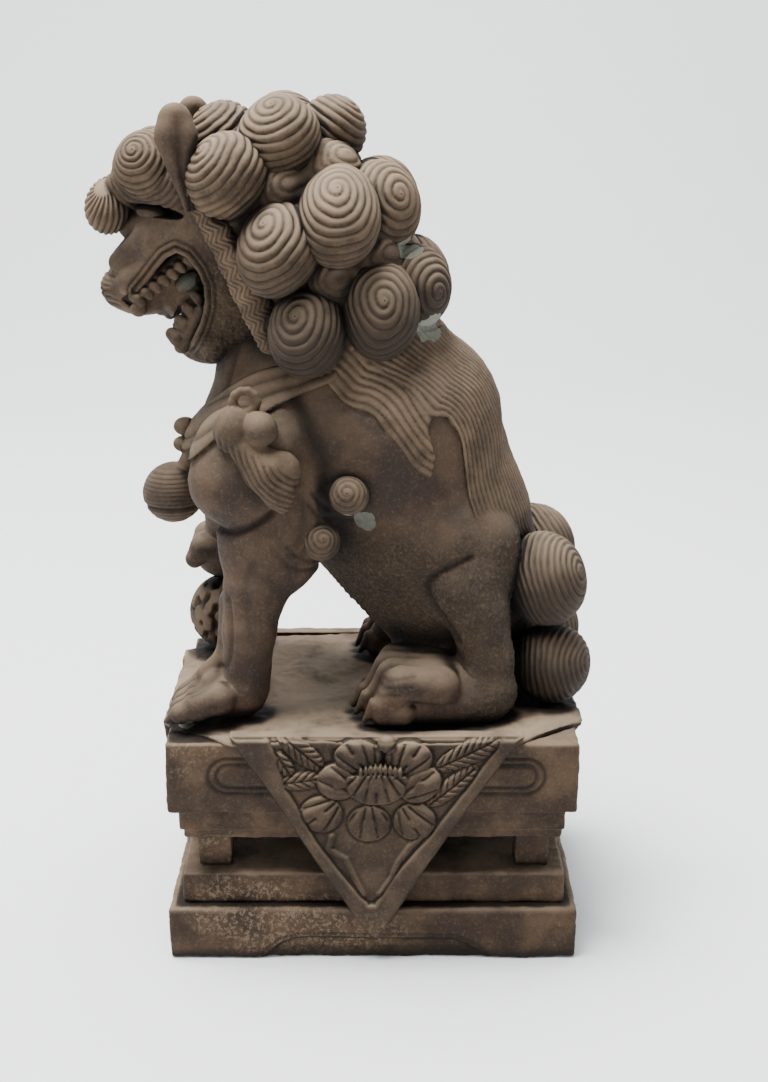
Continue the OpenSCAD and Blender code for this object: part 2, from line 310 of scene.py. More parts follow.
pieces = []


def normals_of(points, quads):
    """A unit normal at each point, from the quads around it."""
    face = np.cross(points[quads[:, 2]] - points[quads[:, 0]], points[quads[:, 3]] - points[quads[:, 1]])
    total = np.empty_like(points)
    for axis in range(3):
        weight = np.repeat(face[:, axis], 4)
        total[:, axis] = np.bincount(quads.ravel(), weight, len(points))
    return total / np.maximum(np.linalg.norm(total, axis=1, keepdims=True), 1e-9)


def make_piece(node, points, quads, slot, lift=0.0, marks=None, tris=None, name=None):
    """A mesh object that stands for a CAD node. Its stone reads the marks, one number at each point."""
    mesh = bpy.data.meshes.new(name or node + "_carving")
    placed = (points + np.array([0, 0, lift])) * MM
    tris = np.zeros((0, 3), int) if tris is None else tris
    corners = np.concatenate([quads.ravel(), tris.ravel()])
    starts = np.concatenate([np.arange(len(quads)) * 4, len(quads) * 4 + np.arange(len(tris)) * 3])
    mesh.vertices.add(len(placed))
    mesh.vertices.foreach_set("co", placed.astype(np.float32).ravel())
    mesh.loops.add(len(corners))
    mesh.loops.foreach_set("vertex_index", corners.astype(np.int32))
    mesh.polygons.add(len(starts))
    mesh.polygons.foreach_set("loop_start", starts.astype(np.int32))
    mesh.update(calc_edges=True)
    mesh.validate()
    mesh.polygons.foreach_set("use_smooth", np.ones(len(mesh.polygons), bool))
    for key, values in (marks or {}).items():
        layer = mesh.attributes.new(key, "FLOAT", "POINT")
        layer.data.foreach_set("value", np.asarray(values, np.float32))
    piece = bpy.data.objects.new(mesh.name, mesh)
    bpy.context.scene.collection.objects.link(piece)
    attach(piece, "root")
    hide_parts(node)
    pieces.append((piece, slot))
    return piece


def both(form):
    """A form together with its mirror image on the other side."""
    far = max(abs(form.low[0]), abs(form.high[0]))
    low, high = form.low.copy(), form.high.copy()
    low[0], high[0] = -far, far
    return Form(low, high, lambda x, y, z: form.at(np.abs(x), y, z))


def mirrored(form):
    """The mirror image of a form."""
    low, high = form.low.copy(), form.high.copy()
    low[0], high[0] = -form.high[0], -form.low[0]
    return Form(low, high, lambda x, y, z: form.at(-x, y, z))


def chain(points, radii, wide=1.0):
    """Rounded bars from point to point."""
    pairs = zip(points, points[1:], radii, radii[1:])
    return [limb(a, b, ra, rb, wide) for a, b, ra, rb in pairs]


# ---------------------------------------------------------------- the lion's forms, before they are cut apart

def torso_forms():
    return [
        (limb((0, -28, 91), (0, 8, 98), 33, 36), 0),
        (limb((0, 8, 98), (0, 20, 61), 36, 35.5), 8),
        (limb((0, 20, 61), (0, 30, 25), 35.5, 25), 6),
        (limb((0, -8, 77), (0, 14, 43), 29, 21), 6),
        (limb((0, -24, 108), (0, -6, 138), 26, 28), 8),
        (limb((0, -42, 113), (0, -42, 128), 14.5, 12.5), 5),
        (limb((0, -46.5, 101), (0, -51.5, 91), 14, 15.5), 5),
        (limb((0, 44, 48), (0, 46, 12), 17, 15), 5),
    ]


def foreleg_forms():
    return [
        (egg((26, -41, 94), (14, 19.5, 17.5)), 0),
        (egg((28.5, -46, 86), (14.5, 17.5, 16)), 4),
        (limb((27, -33, 98), (28, -29, 82), 12.5, 11), 6),
        (limb((28.5, -35, 73), (29, -36, 62), 19.2, 18, 0.6), 2),
        (limb((29, -36, 62), (30.5, -41, 48), 18, 11, 0.66), 2),
        (limb((30.5, -41, 48), (31.5, -43.5, 32), 11, 9.3, 0.9), 2),
        (limb((31.5, -43.5, 32), (32, -45, 13), 9.3, 8.3), 2),
        (limb((30, -24, 84), (30, -21, 68), 7.5, 5), 5),
        (limb((30, -21, 68), (30, -32, 56), 5, 3.5), 5),
        (limb((26, -50, 42), (25.5, -52, 20), 4.2, 4), 1.2),
    ]


def forepaw_forms():
    forms = [(limb((32, -46.5, 8.5), (32, -55, 8.5), 8.8, 8.4), 0)]
    for across in (-9.6, -3.2, 3.2, 9.6):
        forms.append((limb((32 + across * 0.8, -54, 9.5), (32 + across, -61.5, 7.6), 6, 5.2), 0.8))
        forms.append((limb((32 + across, -61.5, 7), (32 + across, -67.5, 4.6), 5, 3.8), 0.6))
        forms.append((limb((32 + across, -69, 5), (32 + across, -72.5, 1.8), 2.5, 1.2), 0.3))
    forms.append((limb((25.5, -52, 20), (26, -60, 12.5), 4.2, 4), 1.2))
    return forms


def lifted_leg_forms():
    return [
        (egg((25, -40, 89), (15.5, 23.5, 22)), 0),
        (limb((27, -33, 98), (29, -28, 78), 13.5, 12), 8),
        (limb((28, -38, 80), (33, -50, 62), 19, 14.5), 6),
        (limb((33, -50, 62), (37, -57, 44), 14, 9.5), 6),
        (limb((30, -24, 84), (30, -21, 68), 7.5, 5), 5),
    ]


def lifted_paw_forms():
    forms = [(limb((37, -56, 42), (38, -61, 38), 9.6, 9), 0)]
    for across in (-8.5, -2.8, 2.8, 8.5):
        forms.append((limb((38 + across * 0.8, -60, 43.5), (38 + across, -66, 43.5), 5.8, 5.2), 0.8))
        forms.append((limb((38 + across, -66, 43), (38 + across, -69.5, 38.5), 5, 3.6), 0.6))
    return forms


def hindleg_forms():
    return [
        (egg((21, 30, 56), (16.5, 23, 25)), 0),
        (egg((28, 32.5, 47), (12.5, 14.5, 13)), 5),
        (limb((30, 37, 38), (31.5, 40.5, 22), 11.5, 9.2), 4),
        (limb((31.5, 40.5, 22), (32.5, 41, 10), 9.2, 9.6), 3),
    ]


def hindpaw_forms():
    forms = [
        (limb((33, 41, 9.5), (32.5, 22, 12), 9.5, 10.5), 0),
        (limb((37, 40, 5.5), (39, 10, 5.5), 6, 6), 4),
    ]
    for across, ahead in ((-10.5, -1), (-3.5, -2.5), (3.5, -1.5), (10.5, 1.5)):
        forms.append((limb((33 + across * 0.7, 24, 15), (33 + across, 9 + ahead, 17), 7.2, 6.2), 1.2))
        forms.append((limb((33 + across, 9 + ahead, 17), (33 + across, 3 + ahead, 8.5), 6, 4.6), 1))
        forms.append((limb((33 + across, 9 + ahead, 6), (33 + across, 2 + ahead, 5), 5, 4), 1))
        forms.append((limb((33 + across, -0.5 + ahead, 9), (33 + across, -4.5 + ahead, 2.5), 2.7, 0.9), 0.3))
    return forms


FILLINGS = [
    # middle and radius of the lobes that close the gaps between the curls
    ((21, -46.5, 171.5), 6.5),
    ((23, -31, 184), 7),
    ((27, -14, 155), 8),
    ((19, 1, 162), 8.5),
    ((12, -13, 189), 9.5),
]


def core_forms():
    """The ball of the mane that the curls grow from. It rises round each curl."""
    forms = [
        (limb((0, -10, 147), (0, -28, 180), 28, 25), 0),
        (limb((0, -6, 147), (0, -14, 128), 27, 25), 8),
        (both(limb((14, -27, 140), (14, -30, 176), 14, 14)), 6),
    ]
    for centre, radius, _, _, _ in CURLS + [CROWN, FORELOCK]:
        forms.append((both(egg(centre, (radius - 3,) * 3)), 5))
    for centre, radius in FILLINGS:
        forms.append((both(egg(centre, (radius,) * 3)), 5))
    return forms


NOSE_WING = [(8, -86.5, 158), (11.5, -82, 163), (14, -76, 167), (16, -69.5, 168), (18, -63, 165),
             (19, -58, 158.5)]
NOSTRIL_RIM = [(9, -87, 157.5), (11.5, -82.5, 154), (11.8, -82.5, 149.5), (10, -86.5, 146.5)]


def skull_forms():
    return [
        (egg((0, -50, 173), (23, 20, 24)), 0),
        (limb((0, -54, 172), (0, -54, 152), 22, 21), 8),
        (limb((0, -64, 164), (0, -79.5, 153), 16.5, 11.5), 7),
        (both(egg((14.5, -69, 165.5), (7, 12, 8.5), 12)), 4),
        (both(limb((13, -68, 162), (11, -82, 152), 6.5, 5.5)), 4),
        (both(limb((8, -83, 170), (16, -67, 177), 3.5, 4.5)), 3),
        (both(limb((7, -88, 180), (12.5, -75.5, 190), 6, 9)), 4),
        (both(limb((13.5, -78, 184.5), (16, -65, 185), 7, 7.5)), 3),
        (egg((0, -85, 157), (9.5, 5.5, 6.5)), 3),
        (both(chain_of(NOSE_WING, 4)), 2.5),
        (egg((0, -88.4, 148.6), (11.5, 6.5, 6.9)), 0.8),
        (both(egg((9, -85, 151), (4.3, 4.3, 4.5))), 0.8),
        (egg((0, -80, 144.4), (13, 10.5, 5.4)), 2.5),
        (both(chain_of(NOSTRIL_RIM, 1.1)), 1),
    ]


def chain_of(points, radius):
    """One form: a tube of the same thickness through all the points."""
    tubes = [limb(a, b, radius, radius) for a, b in zip(points, points[1:])]
    low = np.min([t.low for t in tubes], axis=0)
    high = np.max([t.high for t in tubes], axis=0)
    return Form(low, high, lambda x, y, z: np.minimum.reduce([t.at(x, y, z) for t in tubes]))


def jaw_forms():
    return [
        (limb((0, -46, 146), (0, -57, 134), 19, 12.5, 1.1), 0),
        (both(limb((15, -48, 154), (13, -57, 136), 8, 7.5)), 5),
        (limb((0, -60, 134), (0, -62.5, 131), 8.5, 6.5, 1.5), 4),
    ]


CURLS = [
    # middle, radius, the way it faces, the hand of its spiral, how much taller it is than wide
    ((24, -47.5, 188.5), 14, (0.45, -0.59, 0.66), 1, 1.05),
    ((14.5, -31, 199.5), 14.3, (0.50, -0.13, 0.85), 1, 1.12),
    ((27, -11, 175.5), 14.2, (0.67, 0.01, 0.74), 1, 1.32),
    ((28.5, -30.5, 165.5), 14, (0.68, -0.32, 0.67), 1, 1.24),
    ((25, 2.5, 144.5), 13.8, (0.92, 0.13, 0.38), 1, 1.26),
    ((28, -21.5, 138), 13.6, (0.82, -0.27, 0.50), 1, 1.22),
    ((12.5, 3, 177.5), 13.6, (0.78, 0.50, 0.38), 1, 1.14),
    ((12.5, 14, 150.5), 13.4, (0.74, 0.67, -0.06), 1, 1.1),
]
CROWN = ((0, -14, 201.5), 12.3, (0.10, 0.55, 0.80), 1, 1.0)
BROWS = [((12.5, -75, 190.5), 11.8, (0.80, -0.30, 0.52), 1, 1.02),
         ((7.5, -89.2, 177.3), 8.3, (0.55, -0.10, 0.83), 1, 1.38)]
FORELOCK = ((8, -50, 200), 11.5, (0.15, -0.55, 0.82), 1, 1.0)
TAILS = [((18.5, 61.5, 47), 15, (0.46, 0.84, 0.30), 1, 1.16),
         ((18.5, 64.5, 14.8), 14.4, (0.42, 0.90, 0.08), 1, 1.03)]
ELBOWS = [((36, -8, 83), 6.9, (0.93, -0.08, 0.37), 1, 1.0),
          ((34, -18, 65.8), 6.9, (0.88, 0.20, 0.42), 1, 1.0)]

BROCADE_BALL = ((-38, -58, 14), 15)
BELL = ((0, -72.5, 74), 11.2)


def world_clay():
    """A coarse copy of everything, to find how hidden each point is."""
    slab_top = SLAB[1][2] - STAND
    low, high = (-64, -108, -STAND - 6), (64, 92, 226)
    world = Clay(low, high, SHADE_STEP)
    groups = [torso_forms(), core_forms(), skull_forms(), jaw_forms(), lifted_world_forms()]
    for form, melt in [pair for group in groups for pair in group]:
        world.add(form, melt)
    for forms in (foreleg_forms(), forepaw_forms()):
        for form, melt in forms:
            world.add(form, melt)
    for forms in (hindleg_forms(), hindpaw_forms()):
        for form, melt in forms:
            world.add(both(form), melt)
    for centre, radius, _, _, _ in CURLS + BROWS + TAILS + ELBOWS + [CROWN]:
        world.add(both(egg(centre, (radius, radius, radius))))
    for centre, radius in (BELL, BROCADE_BALL):
        world.add(egg(centre, (radius, radius, radius)))
    for low, high in (SLAB, FOOT, STEP, FRIEZE):
        world.add(block(low - (0, 0, STAND), high - (0, 0, STAND), 0.5))
    world.cut(mouth_pocket(), 0)
    world.add(block((-HALF_DEPTH, -HALF_LENGTH, slab_top), (HALF_DEPTH, HALF_LENGTH, 0), 0.5))
    world.add(block((-64, -108, -STAND - 6), (64, 92, -STAND)))
    return world


def lifted_world_forms():
    return [(mirrored(form), melt) for form, melt in lifted_leg_forms() + lifted_paw_forms()]


def hollow_at(points, normals, world):
    """How hidden each point is, from 0 in the open to 1 deep in a corner."""
    total = np.zeros(len(points))
    for reach, weight in ((2.0, 0.15), (4.0, 0.25), (8.0, 0.3), (13.0, 0.3)):
        gap = world.sample(points + normals * reach)
        total += weight * np.clip(1 - gap / reach, 0, 1)
    return total


# ---------------------------------------------------------------- carved lines

def ridges(along, pitch, sharp=0.55):
    """Rounded ridges with thin grooves between them: 1 on a ridge and 0 in a groove."""
    return np.abs(np.sin(np.pi * along / pitch)) ** sharp


def fade(value, low, high):
    """0 below low, 1 above high, and smooth between."""
    t = np.clip((value - low) / (high - low), 0, 1)
    return t * t * (3 - 2 * t)


def line_distance(u, v, corners):
    """Distance to an open line of points in a plane."""
    best = np.full(np.broadcast(u, v).shape, 1e9)
    for (ax, ay), (bx, by) in zip(corners, corners[1:]):
        ex, ey = bx - ax, by - ay
        t = np.clip(((u - ax) * ex + (v - ay) * ey) / (ex * ex + ey * ey), 0, 1)
        best = np.minimum(best, (u - ax - t * ex) ** 2 + (v - ay - t * ey) ** 2)
    return np.sqrt(best)


def rounded(corners, times=2):
    """The same open line with its corners cut off, again and again."""
    for _ in range(times):
        smooth = [corners[0]]
        for (ax, ay), (bx, by) in zip(corners, corners[1:]):
            smooth.append((0.75 * ax + 0.25 * bx, 0.75 * ay + 0.25 * by))
            smooth.append((0.25 * ax + 0.75 * bx, 0.25 * ay + 0.75 * by))
        corners = smooth + [corners[-1]]
    return corners


def near(points, places):
    """1 at any of the places, each given as (point, radius), and 0 away from them."""
    total = np.zeros(len(points))
    wobble = 1 + 0.35 * rough_noise(points, 4, 71, 2)
    for place, radius in places:
        gap = np.linalg.norm(points - np.array(place), axis=1) * wobble
        total = np.maximum(total, 1 - fade(gap, radius * 0.8, radius * 1.1))
    return total


CHIPS = [
    # middle and radius of the places where the raw stone shows
    ((38, -66, 2), 5),
    ((33, -70, 4), 3.5),
    ((36, -9, 74.5), 3.6),
    ((34, -4, 72.5), 4.5),
    ((18, 12, 164), 4.5),
    ((15, 18.5, 137.5), 7.2),
    ((14, -63.7, 152), 4.2),
    ((24, -60, 184), 2.5),
    ((27, -52, 181), 2.2),
]


def carve(node, slot, points, quads, world, detail=None, grain=0.12, rough=None, tris=None, name=None):
    """Roughens a skin, marks its hollows and makes its piece. detail gives cut depths and groove marks."""
    normals = normals_of(points, quads)
    groove = np.zeros(len(points))
    depth = np.zeros(len(points))
    if detail:
        depth, groove = detail(points)
    pitted = rough(points) if rough else np.zeros(len(points))
    bumps = rough_noise(points, 3.0, 5, 3) * grain + value_noise(points, 14, 9) * 0.25
    pits = np.abs(rough_noise(points * (1, 1, 1.4), 2.0, 23, 2)) - 0.35
    moved = points + normals * (bumps - depth + pits * pitted * 0.75)[:, None]
    hollow = hollow_at(points, normals, world)
    marks = {"groove": groove, "hollow": hollow, "up": normals[:, 2], "rough": pitted,
             "chip": near(points, CHIPS) if slot != "plinth_stone" else np.zeros(len(points))}
    return make_piece(node, moved, quads, slot, STAND, marks, tris, name)


def curl_mesh(centre, radius, facing, hand, tall, pitch=3.0, reach=2.3, depth=0.75, rings=84, around=128,
              starts=1, swirl=1.0):
    """A stone curl: a ball with one spiral ridge, or several, that start at the point it faces."""
    phi = np.linspace(0, reach, rings)[1:, None]
    theta = (np.arange(around) * 2 * math.pi / around)[None, :]
    out = Vector(facing).normalized()
    side = out.cross(Vector((0, 0, 1))).normalized()
    rise = out.cross(side)
    frame_axes = np.array([side, rise, out])
    unit = np.stack([np.sin(phi) * np.cos(theta), np.sin(phi) * np.sin(theta), np.cos(phi) + 0 * theta], -1)
    rough_at = unit.reshape(-1, 3) @ frame_axes * radius + np.array(centre)
    wobble = 0.8 * value_noise(rough_at, 9, 31) + 0.25 * value_noise(rough_at, 3.5, 32)
    wobble = wobble.reshape(phi.shape[0], around)
    along = radius * phi * swirl + wobble + hand * starts * pitch * theta / (2 * math.pi)
    height = ridges(along, pitch, 0.6)
    plain = 0.6 if starts == 1 else radius * 0.35
    height = height + (1 - height) * (1 - fade(radius * phi, plain, plain + 1.5))
    sway = 1 + 0.04 * value_noise(rough_at, 11, 33).reshape(height.shape)
    ball = unit * (radius * sway - depth * (1 - height))[..., None] * np.array((1, tall, 1))
    points = ball.reshape(-1, 3) @ frame_axes + np.array(centre)
    pole = np.array(centre) + frame_axes[2] * radius
    base = np.array(centre) + frame_axes[2] * radius * math.cos(reach)
    ring, step = np.meshgrid(np.arange(rings - 2), np.arange(around), indexing="ij")
    a, b = ring * around + step, ring * around + (step + 1) % around
    quads = np.stack([a, a + around, b + around, b], -1).reshape(-1, 4)
    i = np.arange(around)
    j = (i + 1) % around
    last = (rings - 2) * around
    top = np.stack([np.full(around, len(points)), i, j], -1)
    bottom = np.stack([np.full(around, len(points) + 1), last + j, last + i], -1)
    points = np.vstack([points, pole, base])
    groove = np.append(1 - height.ravel(), [0, 0])
    return points, quads, np.vstack([top, bottom]), groove


def curl(node, slot, spec, world, flip=False, name=None, **more):
    """Carves one curl, or its mirror image."""
    points, quads, tris, groove = curl_mesh(*spec, **more)
    if flip:
        points = points * np.array([-1, 1, 1])
        quads, tris = quads[:, ::-1], tris[:, ::-1]
    carve(node, slot, points, quads, world, lambda p: (np.zeros(len(p)), groove), 0.08, tris=tris, name=name)


def build_curls(world):
    for i, spec in enumerate(CURLS):
        curl(f"mane_curl_left_{i + 1}", "mane_stone", spec, world)
        curl(f"mane_curl_right_{i + 1}", "mane_stone", spec, world, flip=True)
    curl("mane_curl_crown", "mane_stone", CROWN, world)
    for side, flip in (("left", False), ("right", True)):
        curl("brow_curls_" + side, "hair_stone", BROWS[0], world, flip, f"brow_curl_{side}_0", pitch=2.4,
             depth=0.8)
        curl("brow_curls_" + side, "hair_stone", BROWS[1], world, flip, f"brow_curl_{side}_1", pitch=2.3,
             depth=0.8, starts=20, swirl=0.45, reach=2.4)
        for i, spec in enumerate(TAILS):
            curl("tail_curls_" + side, "hair_stone", spec, world, flip, f"tail_curl_{side}_{i}", pitch=2.4,
                 depth=0.75, rings=76)
        for i, spec in enumerate(ELBOWS):
            curl("elbow_curls_" + side, "hair_stone", spec, world, flip, f"elbow_curl_{side}_{i}", pitch=2.1,
                 depth=0.6, rings=34, around=72)


# ---------------------------------------------------------------- the body

CAPE_EDGE = [(-20, 123), (-17, 121), (-13, 117), (-9, 113), (0, 110.5), (4, 105), (9, 98), (14, 92),
             (20, 88.5)]
CAPE_NOTCH = [(-4, 130), (10, 121), (17, 114), (20, 109.5)]
CAPE_BACK = [(20, 109.5), (25, 109), (30, 102), (31.5, 91), (33, 81), (35.5, 71), (39, 61), (44, 54),
             (54, 50)]
CAPE_LOBE = CAPE_EDGE + [(21.5, 97), (19, 105)] + CAPE_NOTCH[::-1] + [(-20, 140)]
CAPE = CAPE_EDGE + [(21.5, 97), (19, 105)] + CAPE_BACK + [(75, 50), (75, 145), (-20, 145)]
COLLAR_LOW = [(-63, 93), (-53, 102), (-45, 107), (-37, 110.7), (-30, 113.3), (-20, 117.5), (-11, 121.4)]
COLLAR_EDGE = [(-70, 88)] + COLLAR_LOW
COLLAR = [(-12, 128), (-24, 127), (-34.4, 125), (-42.4, 121), (-49.7, 116), (-58, 109.5), (-67.9, 98.5),
          (-72, 94), (-70, 89)] + COLLAR_LOW


def collar_detail(points):
    """Folds along the band."""
    x, y, z = points.T
    along = line_distance(y, z, rounded(COLLAR_EDGE)) + 0.5 * value_noise(points, 12, 43)
    height = ridges(along, 4.3, 0.7)
    return 1.1 * (1 - height), 0.8 * (1 - height)


def shell(whole, corners, lift, x_far=60, thick=3.5):
    """A layer of the body that stands `lift` proud of it inside an outline in the side view."""
    clay = Clay((-x_far, min(c[0] for c in corners) - 2, min(c[1] for c in corners) - 2),
                (x_far, max(c[0] for c in corners) + 2, max(c[1] for c in corners) + 2), whole.step)
    mine, its = clay.shared(whole)
    skin = np.full(clay.d.shape, FAR, np.float32)
    skin[mine] = whole.d[its]
    window = tuple(slice(0, n) for n in clay.count)
    x, y, z = clay.lines(window)
    mask = outline_distance(y, z, corners)
    rolled = np.maximum(mask + 1.2, 0)
    layer = np.maximum(skin - lift + rolled * rolled * 0.35, -skin - thick)
    clay.d = np.maximum(layer, mask).astype(np.float32)
    return clay


def cape_detail(points):
    """Long hair that runs down the back."""
    x, y, z = points.T
    lobe = outline_distance(y, z, CAPE_LOBE) < 0
    front = line_distance(y, z, rounded(CAPE_EDGE))
    behind = line_distance(y, z, rounded(CAPE_NOTCH + CAPE_BACK[1:]))
    across = 0.9 * np.clip(33 - np.abs(x), 0, 40)
    along = np.where(lobe, front, behind + across) + 0.9 * value_noise(points, 9, 41)
    height = ridges(along - 0.4, 2.7, 0.6)
    return 0.85 * (1 - height), 1 - height


def belly_pits(points):
    """1 on the rough belly and hind legs, 0 on the smooth body."""
    x, y, z = points.T
    low = 1 - fade(z + 6 * value_noise(points, 12, 51), 60, 74)
    return low * fade(y, -22, -8) * np.maximum(fade(z, 20, 30), fade(y, 26, 38))


def build_body(world):
    groups = {
        "torso": (clay_of(torso_forms(), BODY_STEP, 4), 0),
        "foreleg_left": (clay_of(foreleg_forms(), BODY_STEP, 4), 3.5),
        "forepaw_left": (clay_of(forepaw_forms(), BODY_STEP, 4), 3),
        "foreleg_right": (clay_of([(mirrored(f), m) for f, m in lifted_leg_forms()], BODY_STEP, 4), 3.5),
        "forepaw_right": (clay_of([(mirrored(f), m) for f, m in lifted_paw_forms()], BODY_STEP, 4), 3),
        "hindleg_left": (clay_of(hindleg_forms(), BODY_STEP, 4), 3.5),
        "hindleg_right": (clay_of([(mirrored(f), m) for f, m in hindleg_forms()], BODY_STEP, 4), 3.5),
        "hindpaw_left": (clay_of(hindpaw_forms(), BODY_STEP, 4), 4),
        "hindpaw_right": (clay_of([(mirrored(f), m) for f, m in hindpaw_forms()], BODY_STEP, 4), 4),
    }
    whole = melt_together(groups, BODY_STEP)
    under = block((-60, -90, -12), (60, 90, -1.2))
    whole.cut(under)
    for node, share in shares(groups, whole).items():
        points, quads = share.skin()
        carve(node, "body_stone", points, quads, world, body_detail, rough=belly_pits)
    back = Clay((-43, -22, 46), (43, 64, 142), CAPE_STEP)
    for form, melt in torso_forms():
        back.add(form, melt)
    points, quads = shell(back, CAPE, 1.5).skin()
    carve("hair_cape", "hair_stone", points, quads, world, cape_detail)
    front = Clay((-48, -78, 76), (48, -10, 130), CAPE_STEP)
    for form, melt in torso_forms() + [(both(form), melt) for form, melt in foreleg_forms()]:
        front.add(form, melt)
    points, quads = shell(front, COLLAR, 2.0).skin()
    carve("collar", "trim_stone", points, quads, world, collar_detail)


BODY_LINES = [
    # outline in the side view, width, depth, least distance from the middle
    ([(3, 18), (8, 20.3), (15, 20.8)], 0.6, 0.6, 36),
    ([(1.5, 15), (7, 17.4), (14, 17.8)], 0.6, 0.6, 36),
    ([(0.5, 12), (6, 14.4), (12, 14.8)], 0.6, 0.6, 36),
    ([(-28, 117), (-24, 111), (-21, 105), (-18, 98), (-15.5, 90), (-15, 86)], 2.4, 1.6, 20),
    ([(-61, 73), (-55, 70.3), (-49, 69.8), (-40, 73), (-34, 78)], 1.1, 1.8, 20),
    ([(34, 61), (27, 58), (20.5, 54), (18.5, 50), (20, 45), (25, 38), (30, 30)], 1.3, 1.5, 22),
    ([(-45, 132), (-48, 124), (-50, 117), (-52, 112)], 0.8, 0.8, 6),
    ([(-8, 75), (-13, 76), (-17, 79), (-20, 84)], 0.8, 0.9, 22),
    ([(-5, 72.5), (-12, 72.5), (-18, 75), (-22, 81)], 0.8, 0.9, 22),
    ([(-14, 59), (-20, 58.5), (-25, 61), (-29, 66)], 0.8, 0.9, 22),
    ([(-17, 56.5), (-22, 55.5), (-28, 57.5), (-32, 63)], 0.8, 0.9, 22),
    ([(-41, 60), (-43, 54), (-44, 49), (-43, 42), (-42, 34)], 1.6, 0.7, 24),
    ([(-50, 46), (-49, 36), (-49.2, 26), (-52, 19), (-58, 14.5), (-64, 12)], 0.9, 0.9, 24),
    ([(-24, 84), (-22, 75), (-26, 66), (-30, 60)], 1.4, 0.7, 24),
    ([(-18, 80), (-17, 74), (-21, 66), (-27, 57)], 1.2, 0.7, 24),
]


TOES = [
    # sides from the middle at which the toes part, front to back, low to high, and which side of the lion
    ((25.7, 32, 38.3), (-75, -51), (-1, 13), 1),
    ((35, 38, 41), (-73, -58), (28, 52), -1),
    ((26, 33, 40), (-8, 19), (-1, 27), 0),
]


def body_detail(points):
    """Creases on the body, at its joints, along its tendons and between its toes."""
    x, y, z = points.T
    depth = np.zeros(len(points))
    for line, width, cut, inner in BODY_LINES:
        gap = line_distance(y, z, rounded(line))
        depth = np.maximum(depth, cut * np.exp(-(gap / width) ** 2) * fade(np.abs(x), inner - 3, inner))
    for sides, (front, back), (low, high), side in TOES:
        here = fade(y, front, front + 1) * (1 - fade(y, back - 5, back))
        here = here * fade(z, low, low + 1) * (1 - fade(z, high - 1, high))
        here = here * (x * side >= 0)
        for middle in sides:
            depth = np.maximum(depth, 1.3 * here * np.exp(-((np.abs(x) - middle) / 0.8) ** 2))
    return depth, np.clip(depth * 0.6, 0, 1)


# ---------------------------------------------------------------- the head

RIM = [(-84, 147.5), (-80, 149.5), (-76.5, 153.5), (-73, 158), (-69.4, 162), (-65.5, 164), (-61.7, 162.3),
       (-58, 157.5), (-56, 152), (-56, 145), (-58, 138.7), (-61, 132.5), (-63.2, 129.5)]


def mouth_pocket():
    """The open mouth on both sides of the tongue."""
    corners = RIM + [(-66, 130), (-72, 133), (-76, 138), (-86, 146)]
    return both(side_cut(corners, 10.5, 40))


def mouth_gap():
    """The opening between the lips, right through the head."""
    corners = [(-100, 137.6), (-80, 137.2), (-71.5, 137.2), (-68.5, 140), (-66.3, 144), (-65.4, 143.6),
               (-66.6, 139.5), (-68.6, 136.6), (-71.5, 135.4), (-76, 128), (-100, 122)]
    return side_cut(corners, -40, 40)


def head_detail(points):
    """Fine lines across the nose and the hair that sweeps down from the brow curls."""
    x, y, z = points.T
    on_nose = (1 - fade(y, -88, -85)) * (1 - fade(np.abs(x), 9, 13)) * (1 - fade(z, 155, 158))
    waves = ridges(z + 0.25 * y + 0.9 * value_noise(points, 6, 61), 1.9, 0.6)
    (_, brow_y, brow_z), _, _, _, _ = BROWS[0]
    round_curl = np.hypot(y - brow_y, z - brow_z) + 0.5 * value_noise(points, 7, 62)
    hair = ridges(round_curl, 2.2, 0.5)
    on_brow = fade(z, 176.5, 178) * (1 - fade(z, 194, 199)) * (1 - fade(y, -62, -58))
    cut = np.maximum(on_nose * (1 - waves), on_brow * (1 - hair))
    lip = line_distance(y, z, RIM[1:])
    outside = fade(np.abs(x), 11, 13)
    rims = np.exp(-((lip - 1.4) / 0.4) ** 2) + 0.7 * np.exp(-((lip - 3.3) / 0.5) ** 2)
    swell = 0.8 * (1 - fade(lip, 0.6, 1.3)) + 0.6 * np.exp(-((lip - 2.3) / 0.6) ** 2)
    return 0.95 * cut + outside * (0.8 * rims - swell), np.clip(cut + outside * rims, 0, 1)


def jaw_pits(points):
    """1 on the rough lower cheek and jaw, 0 on the smooth face."""
    x, y, z = points.T
    behind_mouth = fade(y + 3 * value_noise(points, 8, 57), -60, -53) * (1 - fade(z, 154, 168))
    return np.maximum(behind_mouth, 1 - fade(z, 127, 133)) * fade(np.abs(x), 3, 8)


def build_head(world):
    groups = {
        "head": (clay_of(skull_forms(), HEAD_STEP, 6), 0),
        "jaw": (clay_of(jaw_forms(), HEAD_STEP, 6), 5),
    }
    whole = melt_together(groups, HEAD_STEP)
    whole.cut(both(egg((19.5, -73, 176.6), (8.5, 10.5, 1.9), 9)), 0.8)
    whole.cut(mouth_pocket(), 1)
    whole.cut(mouth_gap(), 0.5)
    whole.cut(both(egg((6, -94.5, 147.5), (2.4, 2.5, 1.8))), 1)
    for node, share in shares(groups, whole).items():
        points, quads = share.skin()
        carve(node, "face_stone", points, quads, world, head_detail, 0.08, jaw_pits)


def solid(node, slot, forms, step, world, detail=None, name=None, grain=0.08):
    """A small carved piece of its own."""
    points, quads = clay_of(forms, step).skin()
    carve(node, slot, points, quads, world, detail, grain, name=name)


